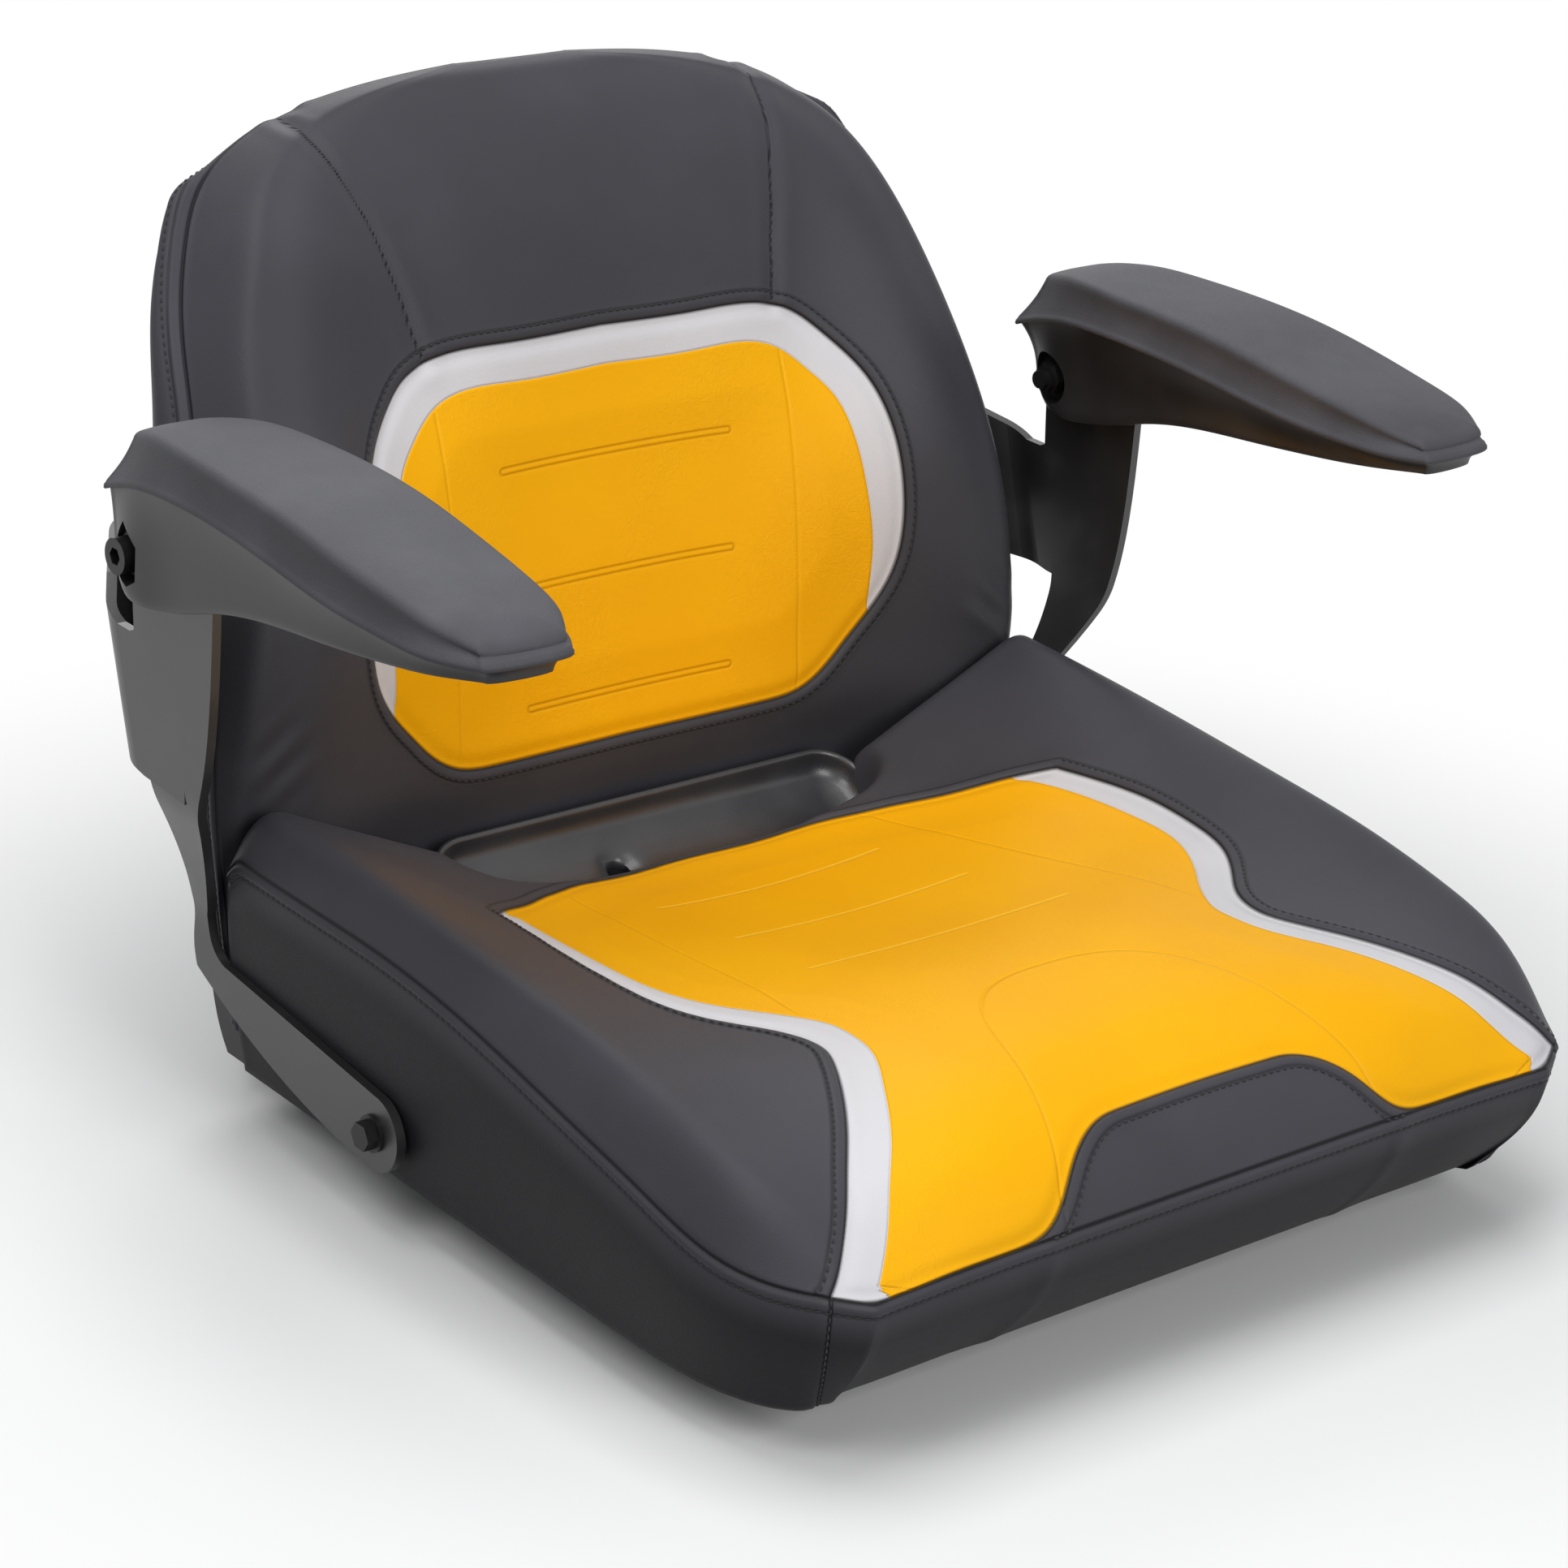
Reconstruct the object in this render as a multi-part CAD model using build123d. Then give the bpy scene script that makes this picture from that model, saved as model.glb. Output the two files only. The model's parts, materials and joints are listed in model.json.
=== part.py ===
"""High-back seat with flip-up armrests for a ride-on garden machine, in millimetres.

The origin is the centre of the four mounting bolts on the underside of the pan.
+Z is up, the occupant faces -Y, and the occupant's left hand is on +X.
"""
import math
import os

from build123d import *

# Clearances
soft_gap = 0.3          # foam to the piece that it is cut around
run_gap = 0.1           # radial gap of a turning or sliding fit
bolt_gap = 0.3          # radial gap of a bolt in its hole
stop_gap = 0.4          # armrest stop to the bracket ear at rest

# Seat pan: one moulded shell with an upturned rim
pan_half_width = 246.0
pan_front = -212.0
pan_corner_radius = 75.0
pan_wall = 4.0
pan_floor_rim = 72.0
pan_back_rim = 38.0
pan_heel = 206.0        # where the back's rear face would meet the floor
pan_heel_radius = 70.0
recline = 17.5
pan_back_length = 474.0
pan_waist_height = 100.0
pan_shoulder_height = 300.0
shoulder_inset = 32.0
crown_inset = 128.0
foot_inset = 39.0       # the floor's edge is drawn in by this much below the rim
foot_height = 25.0
rib_spacing = 80.0
rib_width = 18.0
rib_height = 3.0
rib_foot = 120.0
rib_length = 290.0

# Mounting bolts under the pan
mount_spacing_x = 285.75
mount_spacing_y = 292.1
mount_boss_radius = 14.0
mount_boss_height = 22.0
insert_radius = 6.5
insert_length = 18.0
barrel_radius = 11.0     # wide end of an insert behind the pan's wall
thread_radius = 3.4
bolt_shank_radius = 3.35

# Seat cushion stations, front to rear:
# (y, overhang past the pan, centre height, panel edge height, bolster height, seam height, hem height)
nose_stations = [
    (-265.0, -28.0, 98.5, 98.0, 96.5, 91.0, 84.0),
    (-254.0, -10.0, 118.0, 112.0, 107.0, 96.0, 66.0),
    (-236.0, 4.0, 134.0, 129.0, 122.0, 101.0, 41.0),
    (-205.0, 15.0, 146.0, 141.5, 138.0, 109.0, 31.0),
    (-160.0, 20.0, 150.0, 146.0, 149.0, 119.0, 30.0),
]
seat_stations = [
    nose_stations[-1],
    (-100.0, 21.0, 145.5, 147.0, 158.0, 132.0, 30.0),
    (-30.0, 21.0, 131.0, 143.0, 164.0, 143.0, 30.0),
    (40.0, 21.0, 117.5, 138.0, 168.0, 150.0, 30.0),
    (110.0, 21.0, 106.5, 135.0, 170.0, 153.0, 30.0),
    (178.0, 21.0, 98.0, 138.0, 171.0, 156.0, 30.0),
]
panel_half_width = 165.0
dish_share = 0.2        # rise of the dish at half of the panel's width
bolster_share = 0.885   # where the bolster's crest lies across the half width
skirt_tuck = 14.0       # the side pulls in by this much down to the hem
cushion_split = 178.0   # the two cushions meet on this plane

# Back cushion stations, bottom to top:
# (z, overhang past the pan, centre, panel edge, crest, shoulder and side seam depths)
back_stations = [
    (30.0, 6.0, 186.0, 184.0, 182.0, 183.0, 190.0),
    (80.0, 10.0, 189.0, 185.0, 182.0, 183.0, 192.0),
    (125.0, 14.5, 195.0, 187.0, 181.5, 182.5, 193.0),
    (171.0, 19.0, 203.0, 190.0, 180.5, 181.0, 194.0),
    (209.0, 17.0, 211.0, 191.0, 180.0, 181.0, 199.0),
    (250.0, 13.0, 219.0, 193.5, 183.5, 187.0, 210.0),
    (300.0, 4.5, 230.0, 205.0, 194.0, 202.0, 235.0),
    (350.0, -6.5, 240.0, 229.0, 216.0, 221.0, 262.0),
    (392.0, -17.0, 254.0, 249.0, 241.0, 246.0, 289.0),
    (420.0, -29.0, 266.0, 262.5, 257.0, 262.0, 306.0),
    (445.0, -44.0, 281.0, 280.0, 278.0, 282.0, 322.0),
    (463.0, -65.0, 296.0, 296.5, 297.0, 300.0, 331.0),
    (476.0, -96.0, 309.0, 310.0, 311.5, 315.0, 336.0),
    (486.0, -136.0, 321.0, 322.0, 323.0, 326.0, 338.0),
    (493.0, -180.0, 331.0, 331.5, 332.0, 334.0, 339.0),
]
back_panel_share = 0.66
back_crest_share = 0.82
back_shoulder_share = 0.94
border_bulge = 5.0      # the border stands out by this much past its seam
bulge_foot = 171.0      # the bulge fades out below this height
bulge_rise = 80.0
crown_fall = 0.6        # slope of the border behind the top seam
crown_y = 337.0
border_tuck = 14.0      # the border pulls in by this much towards the pan

# Drain tray between the cushions
tray_length = 286.0
tray_width = 58.0
tray_corner = 26.0
tray_wall = 3.0
tray_depth = 17.0
tray_floor_length = 236.0
tray_floor_width = 28.0
tray_floor_shift = -5.0
tray_center_y = 168.0
tray_center_z = 108.5
tray_tilt = 27.0
rim_bead_radius = 2.6
drain_x = -28.0
drain_y = 169.0
drain_radius = 7.0
spout_wall = 2.0
spout_foot = 2.0

# Seat switch in the floor of the pan
switch_y = -40.0
switch_radius = 15.0
switch_flange_radius = 21.0
switch_flange = 3.0
switch_top = 20.0
switch_bottom = 1.0
plunger_radius = 6.0
plunger_head_radius = 9.0
plunger_head = 3.0
plunger_travel = 4.0

# Armrest pivot
ear_offset = 53.0
ear_x = pan_half_width + ear_offset
pivot_y = 195.0
pivot_z = 313.0
ear_radius = 21.0
pivot_radius = 5.0
hub_width = 43.0
recess_radius = 15.0
recess_depth = 9.0
slot_gap = 2.2
washer_radius = 11.0
washer_thickness = 1.6
head_radius = 9.0
head_length = 10.0
socket_flats = 8.0
socket_depth = 6.0
nut_flats = 16.0
nut_length = 8.0
collar_radius = 6.8
collar_length = 3.6
bolt_end = 3.4

# Armrest bracket, pressed from sheet
sheet = 5.0
leg_offset = 20.0
leg_x = pan_half_width + leg_offset
leg_bolt_y = 45.0
leg_bolt_z = 57.0
leg_end_radius = 20.0
boss_radius = 15.0
joggle_top = 190.0
joggle_foot = 112.0
joggle_radius = 45.0
wrap_corner_y = 212.0
wrap_turn_x = pan_half_width + 14.0
wrap_end_x = pan_half_width - 114.0
wrap_base = 185.0
wrap_radius = 20.0
rear_bolt_xs = (pan_half_width - 92.0, pan_half_width - 52.0)
rear_bolt_height = 245.0
hex_flats = 13.0
hex_head = 6.0
flange_head_radius = 9.5
flange_head = 2.0
bracket_insert_length = 22.0

# Bracket outline in side view: (y, z) from the pivot, then (y from the pivot, z from the leg's bolt)
ear_front = (-52.0, -11.0)
upright_front = [(-51.0, -60.0), (-43.0, -115.0), (-27.0, -155.0)]
crook = (-3.0, 58.0)
crook_turn = (-4.0, 44.0)
crook_foot = (-17.0, 34.0)
leg_belly = (-65.0, -4.0)
leg_heel = (8.0, 25.0)
upright_rear = [(11.0, 48.0), (2.0, 78.0), (-2.0, 110.0)]
ear_rear_low = [(14.0, -75.0), (18.5, -40.0)]
ear_slope = 125.0
flange_low = [(-30.0, -122.0), (7.0, -120.0), (64.0, -110.0), (138.0, -98.0)]
flange_high = [(138.0, -15.0), (67.0, -36.0), (33.0, -49.0), (21.5, -49.0), (-30.0, -23.0)]

# Armrest outlines: side view (y, z) from the pivot, plan view (x, y) from the pivot
pad_joint = [(-289.0, 37.0), (-245.0, 38.5), (-195.0, 41.5), (-135.0, 45.0), (-75.0, 45.0),
             (-25.0, 40.5), (8.0, 32.0), (30.0, 24.0)]
pad_crest = [(-286.0, 47.5), (-245.0, 56.0), (-195.0, 63.0), (-135.0, 69.0), (-75.0, 70.0),
             (-17.0, 66.0), (9.0, 58.5)]
base_belly = [(-288.0, 29.0), (-235.0, 25.0), (-180.0, 16.5), (-100.0, 2.0), (-45.0, -15.0)]
hub_low = (-17.0, -20.5)
hub_rear = (24.0, -3.0)
pad_outer = [(23.0, -285.0), (36.0, -185.0), (31.0, -65.0), (18.0, 25.0)]
pad_inner = [(-36.0, -285.0), (-51.0, -145.0), (-48.0, -65.0), (-34.0, 25.0)]
pad_nose_bow = 5.0
pad_tail_bow = 8.0
pad_middle = -7.0
pad_draft = 7.0
lip_inset = 3.0
shelf_thickness = 8.0
screw_ys = (-133.0, -237.0)
screw_radius = 2.2
screw_head_radius = 4.5
screw_head = 3.0
screw_grip = 9.0

lean = math.radians(recline)
up_back = Vector(0, math.sin(lean), math.cos(lean))
out_back = Vector(0, math.cos(lean), -math.sin(lean))


# Prisms along the three axes, from outlines drawn in side, front and top view

def side_prism(outline, low_x, high_x):
    """Extrude an outline given in (y, z) from low_x to high_x."""
    return extrude(Plane.YZ.offset(low_x) * outline, high_x - low_x)


def front_prism(outline, low_y, high_y):
    """Extrude an outline given in (x, z) from high_y to low_y."""
    return extrude(Plane.XZ.offset(-high_y) * outline, high_y - low_y)


def plan_prism(outline, low_z, high_z):
    """Extrude an outline given in (x, y) from low_z to high_z."""
    return extrude(Pos(0, 0, low_z) * outline, high_z - low_z)


def rod_x(low_x, high_x, y, z, radius):
    """A round rod along X."""
    return side_prism(Pos(y, z) * Circle(radius), low_x, high_x)


def rod_z(x, y, low_z, high_z, radius):
    """A round rod along Z."""
    return plan_prism(Pos(x, y) * Circle(radius), low_z, high_z)


def hex_outline(flats):
    """A hexagon measured across its flats."""
    return RegularPolygon(flats / 2, 6, major_radius=False)


# Seat pan

def pan_corner(floor_depth, back_depth):
    """Where the floor and back meet, each moved inwards by its depth."""
    rise = floor_depth * math.sin(lean)
    return (pan_heel + (rise - back_depth) / math.cos(lean), floor_depth)


def back_at(length, depth):
    """A point of the side view, along the back and in from its rear face."""
    y = pan_heel + length * math.sin(lean) - depth * math.cos(lean)
    z = length * math.cos(lean) + depth * math.sin(lean)
    return (y, z)


def pan_run(floor_depth, back_depth, front, length, radius):
    """One line of the pan's side view: along the floor, round the heel and up the back."""
    corner = pan_corner(floor_depth, back_depth)
    return FilletPolyline((front, floor_depth), corner, back_at(length, back_depth), radius=radius)


def pan_band(outer_depth, floor_rim, back_rim, front, length):
    """The side view between the pan's outer face and the edge of its rim."""
    outer = pan_run(outer_depth, outer_depth, front, length, pan_heel_radius - outer_depth)
    inner = pan_run(floor_rim, back_rim, front, length, pan_heel_radius / 3)
    ends = Line(outer @ 0, inner @ 0) + Line(outer @ 1, inner @ 1)
    return make_face(outer + inner + ends)


def pan_plan(inset):
    """The pan from above: straight sides and rounded front corners."""
    half = pan_half_width - inset
    front = pan_front + inset
    corner = pan_corner_radius - inset
    rear = 2 * pan_back_length
    right = Line((half, rear), (half, front + corner))
    turn = RadiusArc((half, front + corner), (half - corner, front), corner)
    nose = Line((half - corner, front), (0, front))
    edge = right + turn + nose
    return make_face(edge + mirror(edge, Plane.YZ) + Line((-half, rear), (half, rear)))


def pan_front_view(inset):
    """The pan from the front: upright below the waist, then drawn in to a round crown."""
    top = pan_back_length * math.cos(lean) - inset
    waist = pan_half_width - inset
    shoulder = pan_half_width - shoulder_inset - inset
    crown = pan_half_width - crown_inset - inset
    low = Line((waist, -pan_wall), (waist, pan_waist_height))
    flank = Line((waist, pan_waist_height), (shoulder, pan_shoulder_height))
    turn = TangentArc((shoulder, pan_shoulder_height), (crown, top), tangent=flank % 1)
    brow = Line((crown, top), (0, top))
    edge = low + flank + turn + brow
    return make_face(edge + mirror(edge, Plane.YZ) + Line((-waist, -pan_wall), (waist, -pan_wall)))


def pan_shell(gap):
    """The pan's bare shell, grown all over by a gap."""
    wall = pan_wall + gap
    reach = pan_half_width + gap
    top = pan_back_length + gap
    band = pan_band(-gap, pan_floor_rim + gap, pan_back_rim + gap, pan_front - gap, top)
    hollow = pan_band(wall, pan_floor_rim * 2, pan_back_rim * 2, pan_front + wall, top - wall)
    outer = side_prism(band, -reach, reach)
    inner = side_prism(hollow, -reach, reach)
    return (outer & pan_limit(-gap)) - (inner & pan_limit(wall))


def pan_limit(inset):
    """The room inside the pan's plan and front view, with the foot drawn in below the rim."""
    limit = plan_prism(pan_plan(inset), foot_height, pan_back_length)
    slope = foot_inset / foot_height
    low = -2 * pan_wall
    sole = Pos(0, 0, low) * pan_plan(inset + foot_inset - slope * low)
    limit += loft([Sketch() + sole, Sketch() + Pos(0, 0, foot_height) * pan_plan(inset)])
    return limit & front_prism(pan_front_view(inset), pan_front - pan_wall, pan_back_length)


def mount_places():
    """The four mounting bolts."""
    half_x = mount_spacing_x / 2
    half_y = mount_spacing_y / 2
    return [(x, y) for x in (-half_x, half_x) for y in (-half_y, half_y)]


def back_plane(x, length):
    """A plane on the rear face of the back, facing backwards."""
    y, z = back_at(length, 0)
    return Plane(origin=(x, y, z), x_dir=(-1, 0, 0), z_dir=out_back)


def rear_bolt_planes(side):
    """The planes of one bracket's rear bolts, on the rear face of the back."""
    length = rear_bolt_height / math.cos(lean)
    return [back_plane(side * x, length) for x in rear_bolt_xs]


def seat_pan():
    """The shell with its bosses, ribs and holes."""
    pan = pan_shell(0)
    for x, y in mount_places():
        pan += rod_z(x, y, 0, mount_boss_height, mount_boss_radius)
        pan -= rod_z(x, y, 0, insert_length, insert_radius)
    boss_face = leg_x - sheet / 2
    for side in (-1, 1):
        inner, outer = sorted((side * (pan_half_width - pan_wall / 2), side * boss_face))
        pan += rod_x(inner, outer, leg_bolt_y, leg_bolt_z, boss_radius)
        inner, outer = sorted((side * (boss_face - bracket_insert_length), side * boss_face))
        pan -= rod_x(inner, outer, leg_bolt_y, leg_bolt_z, insert_radius)
        for plane in rear_bolt_planes(side):
            pan -= extrude(plane * Circle(insert_radius), -2 * pan_wall)
    for x in (-rib_spacing, 0, rib_spacing):
        plane = back_plane(x, rib_foot + rib_length / 2)
        rib = Rot(0, 0, 90) * SlotOverall(rib_length, rib_width)
        pan += extrude(plane * rib, rib_height, taper=30)
    pan -= rod_z(0, switch_y, -pan_wall, 2 * pan_wall, switch_radius + run_gap)
    pan -= rod_z(drain_x, drain_y, -pan_wall, 4 * pan_wall, drain_radius + spout_wall + soft_gap)
    return pan


# Cushions

def seat_section(station):
    """The seat cushion's outline at one station, from the dish over the bolsters to the hem."""
    y, overhang, centre, edge, bolster, seam, hem = station
    half = pan_half_width + overhang
    dish = centre + dish_share * (edge - centre)
    right = [
        (panel_half_width / 2, dish),
        (panel_half_width, edge),
        (half * bolster_share, bolster),
        (half, seam),
    ]
    left = [(-x, z) for x, z in reversed(right)]
    top = Spline(*left, (0, centre), *right)
    foot = half - skirt_tuck
    flank = Line((half, seam), (foot, hem))
    base = Line((-foot, hem), (foot, hem))
    outline = make_face(top + flank + mirror(flank, Plane.YZ) + base)
    return Plane.XZ.offset(-y) * outline


def tray_plane():
    """The plane of the tray's rim."""
    tilt = math.radians(tray_tilt)
    normal = (0, -math.sin(tilt), math.cos(tilt))
    return Plane(origin=(0, tray_center_y, tray_center_z), x_dir=(1, 0, 0), z_dir=normal)


def tray_body(grow):
    """The tray's outer form, from its rim down to its floor."""
    rim = RectangleRounded(tray_length + 2 * grow, tray_width + 2 * grow, tray_corner + grow)
    corner = tray_floor_width / 2 - tray_wall + grow
    floor = RectangleRounded(tray_floor_length + 2 * grow, tray_floor_width + 2 * grow, corner)
    floor = Pos(0, tray_floor_shift, -tray_depth - grow) * floor
    return tray_plane() * loft([Sketch() + rim, Sketch() + floor])


def tray_pocket():
    """The room that the cushions leave for the tray, open above."""
    grow = soft_gap + rim_bead_radius
    rim = RectangleRounded(tray_length + 2 * grow, tray_width + 2 * grow, tray_corner + grow)
    above = tray_plane() * extrude(Pos(0, 0, -rim_bead_radius) * rim, tray_width)
    spout = rod_z(drain_x, drain_y, 0, tray_center_z, drain_radius + spout_wall + soft_gap)
    return tray_body(soft_gap) + above + spout


def switch_pocket():
    """The room that the foam leaves for the seat switch."""
    room = switch_flange_radius + soft_gap
    top = switch_top + plunger_travel + plunger_head + soft_gap
    return rod_z(0, switch_y, 0, top, room)


def seat_cushion():
    """Foam and cover of the seat, down into the pan and over its rim."""
    cushion = loft([seat_section(station) for station in seat_stations])
    cushion += loft([seat_section(station) for station in nose_stations])
    hem = seat_stations[-1][-1]
    floor = pan_wall + soft_gap
    fill = pan_limit(pan_wall + soft_gap)
    depth = pan_heel - pan_heel_radius - pan_front
    middle = pan_front + depth / 2
    fill &= Pos(0, middle, floor + hem / 2) * Box(4 * pan_half_width, depth, hem)
    cushion += fill
    cushion -= pan_shell(soft_gap)
    for x, y in mount_places():
        cushion -= rod_z(x, y, 0, mount_boss_height + soft_gap, mount_boss_radius + soft_gap)
    for side in (-1, 1):
        inner, outer = sorted((side * (pan_half_width - bracket_insert_length), side * leg_x * 1.2))
        cushion -= rod_x(inner, outer, leg_bolt_y, leg_bolt_z, boss_radius + soft_gap)
    return cushion - tray_pocket() - switch_pocket()


def back_section(station):
    """The back cushion's outline at one height: dished front, bolsters and a flat rear."""
    z, overhang, centre, edge, crest, shoulder, seam = station
    half = pan_half_width + overhang
    right = [
        (half * back_panel_share, edge),
        (half * back_crest_share, crest),
        (half * back_shoulder_share, shoulder),
        (half, seam),
    ]
    left = [(-x, y) for x, y in reversed(right)]
    front = Spline(*left, (0, centre), *right)
    rear = back_at(z / math.cos(lean), 0)[0]
    heel = half - border_tuck
    swell = border_bulge * min(max((z - bulge_foot) / bulge_rise, 0), 1)
    flank = Spline((half, seam), (half + swell, (seam + rear) / 2), (heel, rear))
    base = Line((-heel, rear), (heel, rear))
    return Pos(0, 0, z) * make_face(front + flank + mirror(flank, Plane.YZ) + base)


def back_cushion():
    """Foam and cover of the back, set into the pan and round its rim."""
    cushion = loft([back_section(station) for station in back_stations])
    depth = pan_wall + soft_gap
    keep = pan_band(depth, 4 * pan_floor_rim, 4 * pan_back_rim, pan_front, 2 * pan_back_length)
    cushion &= side_prism(keep, -2 * pan_half_width, 2 * pan_half_width)
    top = back_stations[-1][0] + soft_gap
    drop = pan_back_length * crown_fall
    brow = Polyline((crown_y, top), (crown_y + pan_back_length, top - drop),
                    (crown_y + pan_back_length, 2 * top), (crown_y, 2 * top), close=True)
    cushion -= side_prism(make_face(brow), -2 * pan_half_width, 2 * pan_half_width)
    ahead = cushion_split + soft_gap
    cushion -= Pos(0, ahead - pan_heel, 0) * Box(
        4 * pan_half_width, 2 * pan_heel, 4 * pan_back_length)
    for side in (-1, 1):
        for plane in rear_bolt_planes(side):
            room = Circle(barrel_radius + soft_gap)
            cushion -= extrude(plane * room, -insert_length - soft_gap)
    return cushion - pan_shell(soft_gap) - tray_pocket()


def drain_tray():
    """A moulded trough with a rolled rim, a funnel and a spout down through the pan."""
    tray = tray_body(0)
    plane = tray_plane()
    rim_path = RectangleRounded(
        tray_length - 2 * rim_bead_radius, tray_width - 2 * rim_bead_radius,
        tray_corner - rim_bead_radius)
    path = plane * rim_path.wire()
    start = path @ 0
    profile = Plane(origin=start, z_dir=path % 0) * Circle(rim_bead_radius)
    tray += sweep(profile, path=path)
    hollow_rim = RectangleRounded(
        tray_length - 4 * rim_bead_radius, tray_width - 4 * rim_bead_radius,
        tray_corner - 2 * rim_bead_radius)
    hollow_floor = RectangleRounded(
        tray_floor_length - 2 * tray_wall, tray_floor_width - 2 * tray_wall,
        tray_floor_width / 2 - 2 * tray_wall)
    hollow_floor = Pos(0, tray_floor_shift, tray_wall - tray_depth) * hollow_floor
    hollow_rim = Pos(0, 0, 2 * rim_bead_radius) * hollow_rim
    hollow = plane * loft([Sketch() + hollow_rim, Sketch() + hollow_floor])
    spout = rod_z(drain_x, drain_y, spout_foot, tray_center_z, drain_radius + spout_wall)
    tray += spout - hollow
    tray -= hollow
    tray -= rod_z(drain_x, drain_y, 0, tray_center_z, drain_radius)
    return tray


# Fasteners, inserts and switch

def mount_inserts():
    """Threaded inserts of the four mounting bolts."""
    inserts = []
    for x, y in mount_places():
        tube = rod_z(x, y, 0, insert_length, insert_radius)
        inserts.append(tube - rod_z(x, y, 0, insert_length, thread_radius))
    return inserts


def seat_switch():
    """Round switch body, held in the floor by its flange."""
    floor = pan_wall
    body = rod_z(0, switch_y, switch_bottom, switch_top, switch_radius)
    body += rod_z(0, switch_y, floor, floor + switch_flange, switch_flange_radius)
    bore_foot = switch_top - 2.5 * plunger_travel
    return body - rod_z(0, switch_y, bore_foot, switch_top, plunger_radius + run_gap)


def switch_plunger():
    """Plunger that the occupant's weight presses down through the foam."""
    foot = switch_top - plunger_travel
    top = switch_top + plunger_travel
    stem = rod_z(0, switch_y, foot, top, plunger_radius)
    return stem + rod_z(0, switch_y, top, top + plunger_head, plunger_head_radius)


def hex_bolt(plane, shank):
    """A flanged hex bolt on the outer face of its sheet; the plane faces outwards."""
    bolt = plane * extrude(Circle(flange_head_radius), flange_head)
    head = extrude(Pos(0, 0, flange_head) * hex_outline(hex_flats), hex_head)
    bolt += plane * head
    return bolt + plane * extrude(Circle(bolt_shank_radius), -shank)


def leg_bolt_plane(side):
    """The plane of a bracket's front bolt, on the outer face of the leg."""
    x = side * (leg_x + sheet / 2)
    return Plane(origin=(x, leg_bolt_y, leg_bolt_z), x_dir=(0, side, 0), z_dir=(side, 0, 0))


def bracket_bolts(side):
    """One front and two rear bolts of a bracket."""
    bolts = [hex_bolt(leg_bolt_plane(side), sheet + bracket_insert_length - pan_wall)]
    for plane in rear_bolt_planes(side):
        bolts.append(hex_bolt(plane.offset(sheet), sheet + insert_length))
    return bolts


def tube_insert(plane, length, flanged):
    """A threaded insert that goes in from a plane, against its direction."""
    tube = extrude(Circle(insert_radius), -length)
    if flanged:
        tube += extrude(Pos(0, 0, -length) * Circle(barrel_radius), length - pan_wall)
    return plane * (tube - extrude(Circle(thread_radius), -length))


def bracket_inserts(side):
    """Threaded inserts that take a bracket's bolts."""
    inserts = [tube_insert(leg_bolt_plane(side).offset(-sheet), bracket_insert_length, False)]
    for plane in rear_bolt_planes(side):
        inserts.append(tube_insert(plane, insert_length, True))
    return inserts


def pivot_bolt(side):
    """Socket cap screw on which an armrest turns."""
    seat = ear_x + hub_width / 2 - recess_depth + soft_gap + washer_thickness
    nut_seat = ear_x - hub_width / 2 + recess_depth - soft_gap - washer_thickness
    tip = nut_seat - nut_length - collar_length - bolt_end
    bolt = rod_x(tip, seat, pivot_y, pivot_z, pivot_radius)
    bolt += rod_x(seat, seat + head_length, pivot_y, pivot_z, head_radius)
    socket = Pos(pivot_y, pivot_z) * hex_outline(socket_flats)
    bolt -= side_prism(socket, seat + head_length - socket_depth, seat + head_length)
    return bolt if side > 0 else mirror(bolt, Plane.YZ)


def pivot_nut(side):
    """Collared lock nut at the inner end of the pivot."""
    face = ear_x - hub_width / 2 + recess_depth - soft_gap - washer_thickness
    nut = side_prism(Pos(pivot_y, pivot_z) * hex_outline(nut_flats), face - nut_length, face)
    end = face - nut_length
    nut += rod_x(end - collar_length, end, pivot_y, pivot_z, collar_radius)
    nut -= rod_x(end - collar_length, face, pivot_y, pivot_z, pivot_radius + run_gap)
    return nut if side > 0 else mirror(nut, Plane.YZ)


def pivot_washers(side):
    """Washers under the head, under the nut and on both faces of the ear."""
    outer = ear_x + hub_width / 2 - recess_depth + soft_gap
    inner = ear_x - hub_width / 2 + recess_depth - soft_gap
    spacer = slot_gap - soft_gap
    spans = [
        (outer, outer + washer_thickness),
        (inner - washer_thickness, inner),
        (ear_x + sheet / 2, ear_x + sheet / 2 + spacer),
        (ear_x - sheet / 2 - spacer, ear_x - sheet / 2),
    ]
    rings = []
    for low, high in spans:
        ring = rod_x(low, high, pivot_y, pivot_z, washer_radius)
        ring -= rod_x(low, high, pivot_y, pivot_z, pivot_radius + run_gap)
        rings.append(ring if side > 0 else mirror(ring, Plane.YZ))
    return rings


# Armrest brackets

def by_pivot(point):
    """A side-view point given from the pivot."""
    return (pivot_y + point[0], pivot_z + point[1])


def by_leg(point):
    """A side-view point given along from the pivot and up from the leg's bolt."""
    return (pivot_y + point[0], leg_bolt_z + point[1])


def ear_brow():
    """Where the ear's round meets its sloping top edge, from the pivot."""
    slope = math.radians(ear_slope)
    return (ear_radius * math.cos(slope), ear_radius * math.sin(slope))


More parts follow.
